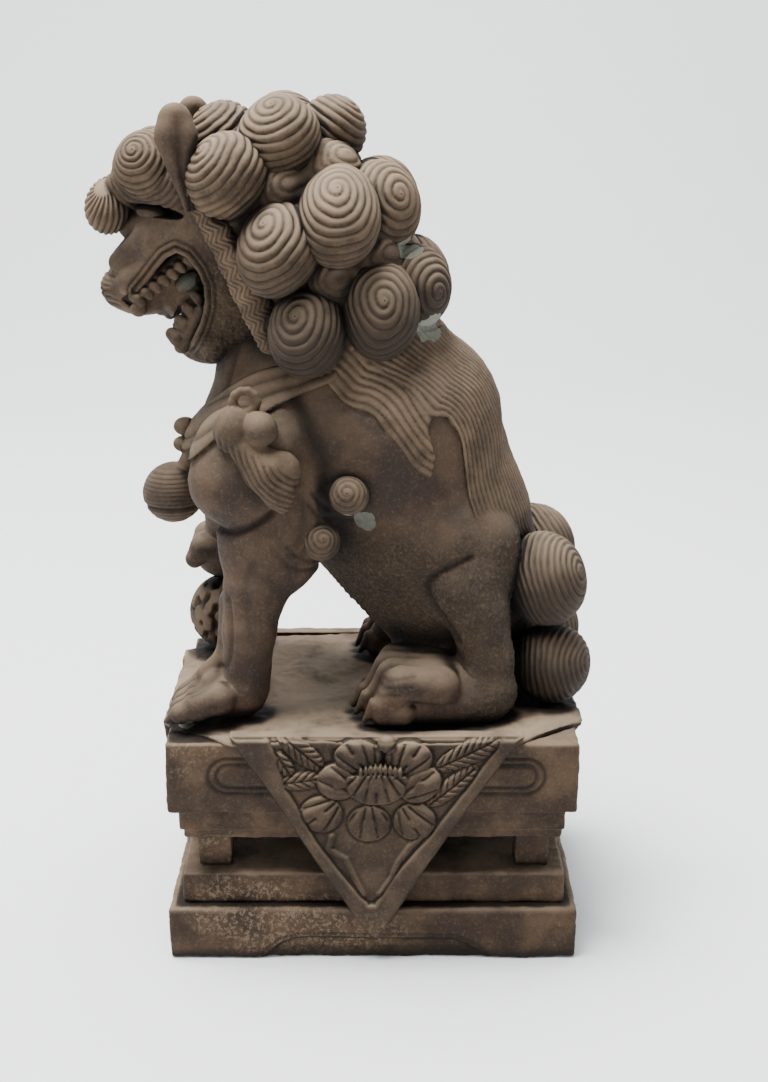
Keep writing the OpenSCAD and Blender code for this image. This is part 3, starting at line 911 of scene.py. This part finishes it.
def tooth_row(start, end, count, point, radii, x):
    """Pegs in a row on both sides of the mouth. point is where each peg's tip lies from its root."""
    forms = []
    for i in range(count):
        t = i / (count - 1)
        y, z = start[0] + (end[0] - start[0]) * t, start[1] + (end[1] - start[1]) * t
        radius = radii[0] + (radii[1] - radii[0]) * t
        tip = (x - 0.5, y + point[0], z + point[1])
        forms.append((both(limb((x, y, z), tip, radius, radius * 0.8)), 0.2))
    return forms


def build_mouth(world):
    step = HEAD_STEP * 0.7
    upper = tooth_row((-62.5, 160.5), (-80, 147), 7, (1.2, -1.4), (2.0, 2.0), 15.5)
    upper += [(both(limb((13, -81, 147.5), (13, -63, 162), 2.6, 2.6)), 0.4)]
    upper += [(both(egg((14, -80, 143), (2, 3, 2.6))), 0.5)]
    solid("upper_teeth", "tooth_stone", upper, step, world)
    lower = tooth_row((-67.5, 133), (-59.3, 146.5), 4, (-1.6, 1.3), (2.9, 2.2), 13.5)
    lower += [(both(limb((13, -66, 130), (14, -58.5, 142), 2.6, 2.6)), 0.4)]
    solid("lower_teeth", "tooth_stone", lower, step, world)
    tongue = [
        (limb((0, -60, 149), (0, -66, 145.5), 5, 4.2, 2.4), 0),
        (limb((0, -66, 145.5), (0, -74, 141.5), 4.2, 2.8, 2.4), 2),
        (limb((0, -66, 144), (0, -71, 139.5), 3, 2.2, 2.4), 1),
    ]
    solid("tongue", "face_stone", tongue, step, world)
    solid("eyes", "face_stone", [(both(egg((13.6, -74, 175.6), (4.4, 5.6, 2.7), 10)), 0)], step, world)
    solid("upper_teeth", "tooth_stone", [(both(egg((9.5, -63, 152), (4, 5.5, 3.6), -30)), 0)], step, world,
          name="mouth_chip")


def strip_detail(points):
    """Zigzag lines that run side by side down the strip of whiskers."""
    x, y, z = points.T
    across = 0.894 * (y + 60) + 0.447 * (z - 180)
    down = 0.447 * (y + 60) - 0.894 * (z - 180)
    zigzag = np.arcsin(0.97 * np.sin(down * 0.95)) * 1.15 + 0.5 * value_noise(points, 9, 63)
    height = ridges(across + zigzag, 2.1, 0.5)
    return 0.8 * (1 - height), 1 - height


def ear_detail(points):
    """A hollow down the middle of the ear and its stem."""
    x, y, z = points.T
    middle = np.interp(z, [179, 188, 194, 201, 213], [-59.6, -61.4, -62, -61.8, -62.4])
    width = np.interp(z, [180, 192, 202, 212], [1, 1.2, 2.6, 1.5])
    hollow = np.exp(-((y - middle) / width) ** 2) * (1 - fade(z, 205, 210)) * (x > 0)
    return 1.5 * hollow, 0.45 * hollow


def build_ears_and_whiskers(world):
    ear = [((27, -59.8, 178), 1.8), ((27, -61.8, 187.5), 2.7), ((27.5, -62.8, 194), 4.4),
           ((27, -63.4, 201), 6.6), ((26.5, -63.6, 206.5), 5.6)]
    strip = [((23.5, -57, 179), 3.6), ((25, -50.5, 170), 5), ((26, -45, 161), 6), ((25.5, -41, 152), 6.2),
             ((24, -37.5, 144), 6), ((21, -34.5, 134), 5.4)]
    for side, turn in (("left", lambda f: f), ("right", mirrored)):
        forms = [(turn(f), 2) for f in chain([p for p, _ in ear], [r for _, r in ear], 0.62)]
        solid("ear_" + side, "face_stone", forms, HEAD_STEP, world, mirror_detail(ear_detail))
        forms = [(turn(f), 2) for f in chain([p for p, _ in strip], [r for _, r in strip])]
        solid("whiskers_" + side, "hair_stone", forms, HEAD_STEP * 0.8, world, strip_detail)


def mirror_detail(detail):
    """The same lines on both sides."""
    return lambda points: detail(np.abs(points) * (1, 0, 0) + points * (0, 1, 1))


def core_detail(points):
    """Hair between the curls, which follows the rims of the nearest ones."""
    folded = np.abs(points) * (1, 0, 0) + points * (0, 1, 1)
    total = np.zeros(len(points))
    for centre, radius, _, _, _ in CURLS + [CROWN, FORELOCK]:
        total += np.exp((radius - np.linalg.norm(folded - np.array(centre), axis=1)) / 2.5)
    along = -2.5 * np.log(total) + folded @ np.array((0.1, 0.35, 0.2)) + 0.8 * value_noise(points, 10, 65)
    height = ridges(along, 2.3, 0.5)
    return 0.9 * (1 - height), 1 - height


def build_core(world):
    solid("mane_core", "mane_stone", core_forms(), CORE_STEP, world, core_detail, grain=0.12)
    for flip in (False, True):
        curl("mane_core", "mane_stone", FORELOCK, world, flip, "forelock_" + ("right" if flip else "left"))


# ---------------------------------------------------------------- trim

def build_trim(world):
    bell = [
        (egg(BELL[0], (BELL[1],) * 3), 0),
        (limb((0, -67, 84), (0, -63, 90), 4, 5), 1),
        (egg((0, -67.5, 98.5), (4.4, 4.2, 3.4)), 0.5),
        (egg((0, -68.5, 92), (3.6, 3.6, 3)), 0.5),
    ]
    solid("bell", "trim_stone", bell, HEAD_STEP, world, bell_detail)
    centre, radius = BROCADE_BALL
    ball = [(egg(centre, (radius, radius, radius)), 0)]
    solid("brocade_ball", "trim_stone", ball, HEAD_STEP, world, ball_detail)
    bow = [
        (egg((39, -46.5, 106.3), (7, 7, 8)), 0),
        (egg((40.5, -37.8, 107), (6.5, 6.2, 6)), 0.6),
        (limb((41, -43, 100.5), (41.5, -36, 93), 5, 7.5), 1.2),
        (egg((40.5, -31, 92.5), (5.5, 7.5, 7.5)), 2),
        (limb((41.5, -36, 93), (41.5, -31.5, 85.5), 7.5, 6), 2),
        (limb((41.5, -31.5, 85.5), (41, -30, 80.5), 6, 2.5), 2),
    ]
    ring = [(limb(ring_point(a), ring_point(a + 1), 1.5, 1.5), 0.5) for a in range(10)]
    for side, turn in (("left", lambda f: f), ("right", mirrored)):
        forms = [(turn(f), m) for f, m in bow + ring]
        solid("ribbon_" + side, "trim_stone", forms, HEAD_STEP, world, tassel_detail)


def ring_point(i):
    """A point on the small ring above the bow."""
    angle = i * math.pi / 5
    return (37, -42.5 + 4 * math.cos(angle), 115.8 + 3.8 * math.sin(angle))


def bell_detail(points):
    """Fine turned lines, and a slit below the middle."""
    x, y, z = points.T
    on_ball = 1 - fade(z, 82, 85)
    height = ridges(z + 0.3 * value_noise(points, 5, 81), 1.5, 0.7)
    slit = np.exp(-((z - 70) / 0.7) ** 2)
    groove = np.maximum(1 - height, slit)
    return on_ball * (0.25 * (1 - height) + 0.9 * slit), on_ball * groove


def ball_detail(points):
    """A pierced ball: round knobs with holes between them."""
    x, y, z = points.T
    weave = np.sin(x * 0.85) * np.sin(y * 0.85 + 1) + np.sin(y * 0.85) * np.sin(z * 0.85) * 0.8
    hole = fade(weave, 0.2, 0.9)
    return 2.2 * hole, hole


def tassel_detail(points):
    """Strands that curl down the tassel."""
    x, y, z = points.T
    tassel = 1 - fade(z + 0.5 * y, 78, 81)
    height = ridges(np.hypot(y + 19, z - 104) + 0.6 * value_noise(points, 7, 83), 2.1, 0.55)
    return 0.8 * tassel * (1 - height), tassel * (1 - height)


# ---------------------------------------------------------------- pedestal

def slab_points(forms, step, cuts=()):
    """The skin of a stack of stone blocks, with cuts taken out."""
    clay = clay_of([(form, 0) for form in forms], step)
    for form, melt in cuts:
        clay.cut(form, melt)
    return clay.skin()


def worn(points):
    """Chisel marks on a flat face."""
    marks = 0.25 * np.abs(value_noise(points * (1, 1, 1.7), 3.2, 91)) + 0.35 * value_noise(points, 11, 92)
    return marks, np.zeros(len(points))


def on_faces(points, half_depth, half_length):
    """Distance along the face, height from the floor and a 0 to 1 mark, on side faces and on end faces."""
    x, y, z = points.T
    on_side = fade(np.abs(x), half_depth - 1.5, half_depth - 0.6)
    on_end = fade(np.abs(y), half_length - 1.5, half_length - 0.6)
    return (y, z + STAND, on_side), (x, z + STAND, on_end)


def slab_detail(points):
    """Two thin lines around a long panel with round ends, on every face of the slab."""
    depth, groove = worn(points)
    for (run, z, face), length in zip(on_faces(points, HALF_DEPTH, HALF_LENGTH), (HALF_LENGTH, HALF_DEPTH)):
        for ends, half in ((0.815 * length, 6.7), (0.775 * length, 4.4)):
            beyond = np.maximum(np.abs(run - 1.4 * (length == HALF_LENGTH)) - (ends - half), 0)
            line = np.exp(-((np.sqrt(beyond ** 2 + (z - 72.2) ** 2) - half) / 0.65) ** 2) * face
            depth, groove = depth + 0.8 * line, np.maximum(groove, line)
    return depth, groove


def apron_corners(half):
    """The bracket-shaped outline of the sunk field at the bottom of the foot."""
    return [(-half, -3), (-half * 0.9, 2.6), (-half * 0.8, 6), (-half * 0.66, 7.9), (half * 0.7, 7.6),
            (half * 0.82, 5.6), (half * 0.93, 2.4), (half * 1.05, -3)]


def foot_detail(points):
    """The lines along the edge of the aprons."""
    depth, groove = worn(points)
    for (run, z, face), half in zip(on_faces(points, FOOT[1][0], FOOT[1][1]), (41, 26)):
        gap = outline_distance(run, z, apron_corners(half))
        lines = (np.exp(-((gap - 0.2) / 0.6) ** 2) + 0.7 * np.exp(-((gap - 2.2) / 0.5) ** 2)) * face
        depth, groove = depth + 0.7 * lines, np.maximum(groove, np.clip(lines, 0, 1))
    return depth, groove


def carve_stone(node, points, quads, world, detail=worn, name=None):
    """A piece of the pedestal. Its points are measured from the floor, so they are lowered to the lion's."""
    carve(node, "plinth_stone", points - (0, 0, STAND), quads, world, detail, 0.2, name=name)


def apron(face, half, on_end):
    """The sunk field at the bottom of one face of the foot."""
    corners = apron_corners(half)

    def at(x, y, z):
        out, run = (np.abs(y), x) if on_end else (np.abs(x), y)
        return np.maximum(outline_distance(run, z, corners), face - 1.3 - out)
    return Form((-60, -80, -2), (60, 80, 10), at)


def build_pedestal(world):
    step = STONE_STEP
    points, quads = slab_points([block(*SLAB, 1.3)], step)
    carve_stone("plinth_slab", points, quads, world, slab_detail)
    cuts = [(apron(FOOT[1][0], 41, False), 0.6), (apron(FOOT[1][1], 26, True), 0.6)]
    points, quads = slab_points([block(*FOOT, 1.4)], step, cuts)
    carve_stone("plinth_foot", points, quads, world, foot_detail)
    points, quads = slab_points([block(*STEP, 1.3)], step)
    carve_stone("plinth_step", points, quads, world)
    low, high = FRIEZE
    ledge = block(low + (1.2, 1.2, 0), (high[0] - 1.2, high[1] - 1.2, low[2] + 5), 1.0)
    points, quads = slab_points([block(low + (0, 0, 3.5), high, 1.0), ledge], step)
    carve_stone("plinth_frieze", points, quads, world)
    build_posts(world)


def build_posts(world):
    low, high = node_box("corner_posts")
    width = 12.5
    forms = []
    for x in (low[0], high[0] - width):
        for y in (low[1], high[1] - width):
            forms.append(block((x, y, low[2] - 0.4), (x + width, y + width, high[2] + 0.4), 0.9))
    points, quads = slab_points(forms, STONE_STEP)
    carve_stone("corner_posts", points, quads, world)


# ---------------------------------------------------------------- cloth

FLAP = [(-50, 88), (-46.5, 82), (-34.6, 64), (-20, 39), (-6, 16), (-1, 9.5), (2.5, 9.5), (7, 16), (20, 39),
        (36, 64), (46.5, 80), (52.5, 88)]
FIELD = [(-38, 92), (-33, 80.5), (-30, 68.5), (-25, 59), (-20, 48), (-11, 35), (-1.5, 23), (0.8, 23), (7, 34),
         (20, 50), (31, 66), (43, 84), (46, 92)]
LEAVES = [
    # middle, half length and half width, turn
    ((-25, 83), (10.5, 4.2), -42),
    ((-25, 71.5), (8.5, 3.4), 8),
    ((34, 82.5), (13.5, 4.4), 28),
    ((28, 69.5), (11.5, 3.6), 42),
    ((-31, 78), (6, 3), -60),
]
LOWER_PETALS = [((-18, 58.7), (9, 8)), ((14.8, 56), (-7, 10)), ((-1.3, 55), (0, 13))]
UPPER_PETALS = [
    # middle, radii, turn, where its lines fan out from
    ((-12, 71.5), (7.5, 7), 0, (14, -6)),
    ((16.5, 70.5), (8, 6.5), 35, (-13, -8)),
    ((-5, 81), (8.3, 6.6), 0, (6, -9)),
    ((12.6, 80.3), (8.3, 6.6), 0, (-6, -9)),
]


def dome(height, y, z, centre, radii, rise, turn=0, lines=0, hinge=(0, 0), base=0.0):
    """Raises a petal on a relief. `lines` cuts that many grooves a radian, fanning from the hinge."""
    cos, sin = math.cos(math.radians(turn)), math.sin(math.radians(turn))
    u = (cos * (y - centre[0]) + sin * (z - centre[1])) / radii[0]
    v = (-sin * (y - centre[0]) + cos * (z - centre[1])) / radii[1]
    k = np.sqrt(u * u + v * v)
    shape = base + rise * np.sqrt(np.clip(1 - k ** 4, 0, 1))
    if lines:
        angle = np.arctan2(z - centre[1] - hinge[1], y - centre[0] - hinge[0])
        cut = 0.5 * (1 - np.abs(np.sin(angle * lines)) ** 0.6)
        shape = shape - cut * fade(k, 0.15, 0.4) * (1 - fade(k, 0.86, 0.98))
    return np.where(k < 1, np.maximum(height, shape), height)


def peony_relief(y, z):
    """Height of the flower and its leaves above the flap's sunk field."""
    return 1.8 * peony_shape(y, z)


def peony_shape(y, z):
    """The flower and its leaves, before they are scaled to the depth of the carving."""
    h = np.zeros(np.broadcast(y, z).shape)
    for centre, radii, turn in LEAVES:
        h = dome(h, y, z, centre, radii, 0.9, turn)
        cos, sin = math.cos(math.radians(turn)), math.sin(math.radians(turn))
        u = cos * (y - centre[0]) + sin * (z - centre[1])
        v = -sin * (y - centre[0]) + cos * (z - centre[1])
        inside = (u / radii[0]) ** 2 + (v / radii[1]) ** 2 < 0.9
        veins = 1 - np.abs(np.sin((np.abs(v) - 0.8 * u) * 1.3)) ** 0.7
        h = h - 0.45 * np.where(inside, np.maximum(veins, np.exp(-(v / 0.5) ** 2)), 0)
    for centre, hinge in LOWER_PETALS:
        h = dome(h, y, z, centre, (7.6, 7.2), 1.1, 0, 9, hinge)
    for centre, radii, turn, hinge in UPPER_PETALS:
        h = dome(h, y, z, centre, radii, 1.3, turn, 10, hinge, 0.4)
    for i in range(9):
        h = dome(h, y, z, (-4 + 1.7 * i, 76.6 - 0.06 * (i - 4) ** 2), (0.9, 2.3), 0.8, 0, base=1.5)
    bowl = dome(h, y, z, (1.4, 71.5), (11.4, 8.6), 1.7, 0, 12, (0, 10), 0.8)
    return np.where(z < 75.2 - 0.008 * (y - 1.4) ** 2, bowl, h)


SCROLLS = [[(-14.5, 50), (-15.5, 45), (-9.5, 41), (-7, 35), (-3.5, 27)],
           [(18, 51), (13, 46), (9, 40), (7, 34), (2.5, 27)]]


def flap_height(y, z):
    """How far the side flap's face stands out from the slab's face."""
    border = fade(outline_distance(y, z, FIELD), -0.5, 0.5)
    edge = fade(-outline_distance(y, z, FLAP), 0, 1.6)
    scroll = sum(np.exp(-(line_distance(y, z, line) / 1.2) ** 2) * 1.2 for line in SCROLLS)
    h = 1.7 + np.maximum(1.4 * border, np.maximum(peony_relief(y, z), scroll))
    groove = np.exp(-(np.abs(outline_distance(y, z, FIELD) - 0.4) / 0.5) ** 2) * 0.35
    return (h - groove) * (0.55 + 0.45 * edge)


def flap_form():
    """The left flap, filled in to the recessed courses behind it."""
    def at(x, y, z):
        front = x - HALF_DEPTH - flap_height(y, z)
        back = np.where(z > 20.5, HALF_DEPTH - 4, FOOT[1][0] - 1.0) - x
        return np.maximum(np.maximum(front * 0.8, back), outline_distance(y, z, FLAP))
    return Form((HALF_DEPTH - 5, -54, 8), (HALF_DEPTH + 8, 56, 88), at)


def relief_detail(points):
    """Marks the grooves of the carved relief, which is already in the shape."""
    x, y, z = np.abs(points[:, 0]), points[:, 1], points[:, 2] + STAND
    here = flap_height(y, z)
    around = sum(flap_height(y + a, z + b) for a, b in ((1.1, 0), (-1.1, 0), (0, 1.1), (0, -1.1))) / 4
    groove = np.clip((around - here) * 3.5, 0, 1) * (x > HALF_DEPTH + 1)
    return 0.4 * groove, groove


def cloth_plan(half_side, half_front):
    """The octagon of the cloth on top of the slab."""
    x, y = HALF_DEPTH + 2.2, HALF_LENGTH + 2.2
    a, b = half_side, half_front
    return [(x, -a), (x, a), (b, y), (-b, y), (-x, a), (-x, -a), (-b, -y), (b, -y)]


def cloth_top_form():
    """The cloth on the slab, with rolled edges and a soft, uneven top."""
    corners = cloth_plan(49, 35)

    def at(x, y, z):
        flat = outline_distance(x, y, corners)
        dip = 1.3 * np.sin(x * 0.09 + 1) * np.sin(y * 0.075) + 0.6 * np.sin(x * 0.2 + y * 0.13)
        roll = np.maximum(flat + 5, 0) ** 2 / 16
        return np.maximum(np.maximum(flat, 83.8 - z), z - (STAND + dip * 0.7 - roll))
    return Form((-60, -80, 83), (60, 80, STAND + 2), at)


def end_flap(sign, half, drop):
    """A pointed flap over the front or the back edge."""
    top = SLAB[1][2] + 1.5
    corners = [(-half, top), (half, top), (1.5, top - drop), (-1.5, top - drop)]
    inner = [(-half * 0.75, top + 2), (half * 0.75, top + 2), (0, top - drop * 0.72)]

    def at(x, y, z):
        height = 1.6 + 1.1 * fade(outline_distance(x, z, inner), -0.5, 0.5)
        front = sign * y - HALF_LENGTH - height
        return np.maximum(np.maximum(front, HALF_LENGTH - 4 - sign * y), outline_distance(x, z, corners))
    ends = sorted([sign * (HALF_LENGTH - 5), sign * (HALF_LENGTH + 5)])
    return Form((-half, ends[0], top - drop), (half, ends[1], top), at)


def build_cloth(world):
    down = (0, 0, STAND)
    points, quads = clay_of([(cloth_top_form(), 0)], STONE_STEP).skin()
    carve("cloth_top", "cloth_stone", points - down, quads, world, grain=0.3)
    for side, turn in (("left", lambda f: f), ("right", mirrored)):
        bud = egg((HALF_DEPTH + 3.2, 5, 86), (3.2, 3.6, 3.4))
        points, quads = clay_of([(turn(flap_form()), 0), (turn(bud), 0.8)], FLAP_STEP).skin()
        carve("cloth_flap_" + side, "cloth_stone", points - down, quads, world, relief_detail, 0.1)
    for node, sign, half, drop in (("cloth_flap_front", -1, 35, 55), ("cloth_flap_back", 1, 35, 23)):
        points, quads = clay_of([(end_flap(sign, half, drop), 0)], STONE_STEP).skin()
        carve(node, "cloth_stone", points - down, quads, world)


# ---------------------------------------------------------------- stone

class Nodes:
    """Short names for building a material."""

    def __init__(self, name):
        self.material = bpy.data.materials.new(name)
        self.material.use_nodes = True
        self.tree = self.material.node_tree
        self.tree.nodes.clear()

    def add(self, kind, **values):
        node = self.tree.nodes.new(kind)
        for key, value in values.items():
            setattr(node, key, value)
        return node

    def put(self, socket, value):
        if isinstance(value, bpy.types.NodeSocket):
            self.tree.links.new(value, socket)
        else:
            socket.default_value = value

    def noise(self, where, scale, detail=3.0, rough=0.55):
        node = self.add("ShaderNodeTexNoise")
        self.put(node.inputs["Vector"], where)
        self.put(node.inputs["Scale"], scale)
        self.put(node.inputs["Detail"], detail)
        self.put(node.inputs["Roughness"], rough)
        return node.outputs["Fac"]

    def ramp(self, value, low, high):
        """0 at low and below, 1 at high and above."""
        node = self.add("ShaderNodeMapRange", interpolation_type="SMOOTHSTEP")
        for name, number in (("Value", value), ("From Min", low), ("From Max", high)):
            self.put(node.inputs[name], number)
        return node.outputs["Result"]

    def math(self, operation, a, b):
        node = self.add("ShaderNodeMath", operation=operation)
        self.put(node.inputs[0], a)
        self.put(node.inputs[1], b)
        return node.outputs[0]

    def mix(self, share, a, b):
        node = self.add("ShaderNodeMix", data_type="RGBA")
        self.put(node.inputs[0], share)
        self.put(node.inputs[6], a if isinstance(a, bpy.types.NodeSocket) else (*a, 1))
        self.put(node.inputs[7], b if isinstance(b, bpy.types.NodeSocket) else (*b, 1))
        return node.outputs[2]

    def mark(self, name):
        node = self.add("ShaderNodeAttribute", attribute_name=name, attribute_type="GEOMETRY")
        return node.outputs["Fac"]


def stone(name, base, warm, dark, pale_dust_and_light, top_dust_and_light_amount, painted_low_shade=None, raw=0.32, crusted=0.05, bumpy=0.7):
    """Carved brown stone: mottled, dark with painted shade in its grooves and hollows and, when asked,
    towards the bottom, dusty and with painted light on top, pale in its chips.
    """
    n = Nodes(name)
    coords = n.add("ShaderNodeTexCoord").outputs["Object"]
    patches = n.ramp(n.noise(coords, 55, 4), 0.38, 0.62)
    stains = n.ramp(n.noise(coords, 130, 5, 0.65), 0.42, 0.66)
    specks = n.ramp(n.noise(coords, 900, 3, 0.7), 0.5, 0.68)
    colour = n.mix(patches, base, warm)
    colour = n.mix(n.math("MULTIPLY", stains, 0.45), colour, dark)
    colour = n.mix(n.math("MULTIPLY", specks, 0.09), colour, pale_dust_and_light)
    spread = n.ramp(n.noise(coords, 26, 3), 0.5, 0.64)
    lichen = n.math("MULTIPLY", spread, n.ramp(n.noise(coords, 650, 4, 0.75), 0.5, 0.6))
    colour = n.mix(n.math("MULTIPLY", lichen, crusted), colour, pale_dust_and_light)
    # Painted shade: below a height range the colour is darkened towards a dark brown, standing in for the
    # shadow that falls on the lower parts.
    if painted_low_shade:
        height = n.add("ShaderNodeSeparateXYZ")
        n.put(height.inputs[0], coords)
        low = n.math("SUBTRACT", 1.0, n.ramp(height.outputs["Z"], painted_low_shade[0], painted_low_shade[1]))
        colour = n.mix(n.math("MULTIPLY", low, painted_low_shade[2]), colour, [c * 1.3 for c in dark])
    rough = n.mark("rough")
    crust = n.ramp(n.noise(coords, 900, 5, 0.75), 0.44, 0.66)
    colour = n.mix(n.math("MULTIPLY", rough, 0.45), colour, dark)
    colour = n.mix(n.math("MULTIPLY", rough, n.math("MULTIPLY", crust, 0.4)), colour, (0.15, 0.11, 0.06))
    # Dust and painted top light: faces that point up are mixed towards the pale colour in patches, partly
    # real dust and partly painted light from above, less so in hollows.
    up = n.ramp(n.mark("up"), -0.1, 0.95)
    dust_and_light_patches = n.ramp(n.noise(coords, 60, 5, 0.6), 0.15, 0.6)
    dust_and_top_light = n.math("MULTIPLY", n.math("MULTIPLY", up, top_dust_and_light_amount), dust_and_light_patches)
    open_air = n.math("SUBTRACT", 1.0, n.ramp(n.mark("hollow"), 0.3, 0.8))
    colour = n.mix(n.math("MULTIPLY", dust_and_top_light, open_air), colour, pale_dust_and_light)
    # Painted shade: the grooves are darkened.
    colour = n.mix(n.math("MULTIPLY", n.mark("groove"), 0.75), colour, [c * 0.3 for c in dark])
    # Painted shade: hollows and corners are darkened where less light reaches.
    painted_hollow_shade = n.math("MULTIPLY", n.ramp(n.mark("hollow"), 0.2, 0.8), 0.88)
    colour = n.mix(painted_hollow_shade, colour, [c * 0.35 for c in dark])
    chips = n.ramp(n.math("ADD", n.mark("chip"), n.math("MULTIPLY", n.noise(coords, 500, 3), 0.3)), 0.6, 0.75)
    raw_dark, raw_pale = [c * raw for c in (0.20, 0.21, 0.155)], [c * raw for c in (0.44, 0.45, 0.37)]
    colour = n.mix(n.math("MULTIPLY", chips, 0.9), colour, n.mix(n.noise(coords, 700, 4), raw_dark, raw_pale))
    shader = n.add("ShaderNodeBsdfPrincipled")
    n.put(shader.inputs["Base Color"], colour)
    n.put(shader.inputs["Roughness"], 0.78)
    n.put(shader.inputs["Specular IOR Level"], 0.28)
    bump = n.add("ShaderNodeBump")
    crumbs = n.math("MULTIPLY", n.math("MULTIPLY", crust, rough), 1.5)
    grain = n.math("ADD", n.noise(coords, 1500, 4, 0.7), crumbs)
    n.put(bump.inputs["Height"], grain)
    n.put(bump.inputs["Strength"], bumpy)
    n.put(bump.inputs["Distance"], 0.0004)
    n.put(shader.inputs["Normal"], bump.outputs["Normal"])
    output = n.add("ShaderNodeOutputMaterial")
    n.put(output.inputs["Surface"], shader.outputs["BSDF"])
    return n.material


def make_stones():
    """One stone for each slot. They differ in how worn and dusty they are, how much painted top light they
    get, and how much painted shade darkens their lower parts.
    """
    dark, pale_dust_and_light = (0.014, 0.0085, 0.005), (0.27, 0.20, 0.135)
    looks = {
        # its two browns, how much dust and painted top light lies on it, and what else is its own
        "plinth_stone": ((0.027, 0.0145, 0.0072), (0.070, 0.041, 0.021), 0.5, {"crusted": 0.4}),
        "cloth_stone": ((0.024, 0.0135, 0.0075), (0.056, 0.034, 0.018), 0.85, {"crusted": 0.25}),
        "body_stone": ((0.024, 0.0135, 0.009), (0.056, 0.032, 0.0175), 0.45, {}),
        "hair_stone": ((0.078, 0.050, 0.029), (0.140, 0.092, 0.055), 0.5,
                       {"painted_low_shade": (0.13, 0.19, 0.78), "raw": 0.6}),
        "mane_stone": ((0.066, 0.041, 0.022), (0.110, 0.070, 0.040), 0.7,
                       {"painted_low_shade": (0.212, 0.275, 0.85), "raw": 0.7}),
        "face_stone": ((0.044, 0.027, 0.016), (0.084, 0.052, 0.030), 0.4, {"raw": 0.25}),
        "tooth_stone": ((0.046, 0.029, 0.017), (0.085, 0.054, 0.031), 0.35, {"raw": 0.17}),
        "trim_stone": ((0.052, 0.033, 0.019), (0.090, 0.058, 0.033), 0.45, {}),
    }
    return {name: stone(name, base, warm, dark, pale_dust_and_light, dust_and_top_light, **own) for name, (base, warm, dust_and_top_light, own)
            in looks.items()}


# ---------------------------------------------------------------- stage

def make_floor():
    """A pale floor that curves up into the backdrop."""
    profile = [(2.5, 0), (-0.9, 0)]
    for i in range(1, 13):
        angle = i * math.pi / 24
        profile.append((-0.9 - 0.6 * math.sin(angle), 0.6 - 0.6 * math.cos(angle)))
    profile.append((-1.5, 3.0))
    verts = [(x, y, z) for x, z in profile for y in (-3, 3)]
    faces = [(2 * i, 2 * i + 2, 2 * i + 3, 2 * i + 1) for i in range(len(profile) - 1)]
    mesh = bpy.data.meshes.new("floor")
    mesh.from_pydata(verts, [], faces)
    mesh.polygons.foreach_set("use_smooth", [True] * len(faces))
    floor = bpy.data.objects.new("floor", mesh)
    bpy.context.scene.collection.objects.link(floor)
    paper = Nodes("pale_floor")
    shader = paper.add("ShaderNodeBsdfPrincipled")
    paper.put(shader.inputs["Base Color"], (0.80, 0.81, 0.815, 1))
    paper.put(shader.inputs["Roughness"], 0.9)
    paper.put(shader.inputs["Specular IOR Level"], 0.1)
    output = paper.add("ShaderNodeOutputMaterial")
    paper.put(output.inputs["Surface"], shader.outputs["BSDF"])
    mesh.materials.append(paper.material)


def add_light(name, place, target, size, watts):
    light = bpy.data.lights.new(name, "AREA")
    light.shape = "DISK"
    light.size = size
    light.energy = watts
    lamp = bpy.data.objects.new(name, light)
    lamp.location = place
    lamp.rotation_euler = (Vector(target) - Vector(place)).to_track_quat("-Z", "Y").to_euler()
    bpy.context.scene.collection.objects.link(lamp)


def light_from_behind(tree):
    """A room that is bright overhead and behind the object, and dim on the camera's side."""
    background = tree.nodes["Background"]
    background.inputs["Color"].default_value = (0.93, 0.96, 1.0, 1)
    split = tree.nodes.new("ShaderNodeSeparateXYZ")
    tree.links.new(tree.nodes.new("ShaderNodeTexCoord").outputs["Generated"], split.inputs[0])
    share = tree.nodes.new("ShaderNodeMapRange")
    share.inputs["From Min"].default_value = 0.9
    share.inputs["From Max"].default_value = -0.4
    share.inputs["To Min"].default_value = 0.35
    share.inputs["To Max"].default_value = 1.0
    tree.links.new(split.outputs["X"], share.inputs["Value"])
    tree.links.new(share.outputs["Result"], background.inputs["Strength"])


def make_stage():
    """Soft light from above and in front, a pale room, and a camera on the lion's left."""
    make_floor()
    add_light("key", (0.05, -0.35, 1.5), (0, 0, 0.15), 0.9, 66)
    add_light("fill", (1.3, -1.0, 0.9), (0, 0, 0.15), 1.0, 4)
    add_light("backdrop_light", (-0.35, 0, 1.9), (-1.4, 0, 0.5), 1.2, 26)
    world = bpy.data.worlds.new("room")
    world.use_nodes = True
    light_from_behind(world.node_tree)
    bpy.context.scene.world = world
    lens = bpy.data.cameras.new("camera")
    lens.lens = 53.3
    lens.sensor_width = 36
    lens.sensor_fit = "AUTO"
    camera = bpy.data.objects.new("camera", lens)
    camera.location = (0.5611, 0.0040, 0.3210)
    pitch = math.radians(17.68)
    look = Vector((-math.cos(pitch), 0, -math.sin(pitch)))
    camera.rotation_euler = look.to_track_quat("-Z", "Y").to_euler()
    bpy.context.scene.collection.objects.link(camera)
    bpy.context.scene.camera = camera


def main():
    world = world_clay()
    build_pedestal(world)
    build_cloth(world)
    build_body(world)
    build_trim(world)
    build_head(world)
    build_mouth(world)
    build_ears_and_whiskers(world)
    build_core(world)
    build_curls(world)
    stones = make_stones()
    for piece, slot in pieces:
        piece.data.materials.append(stones[slot])
    make_stage()


main()
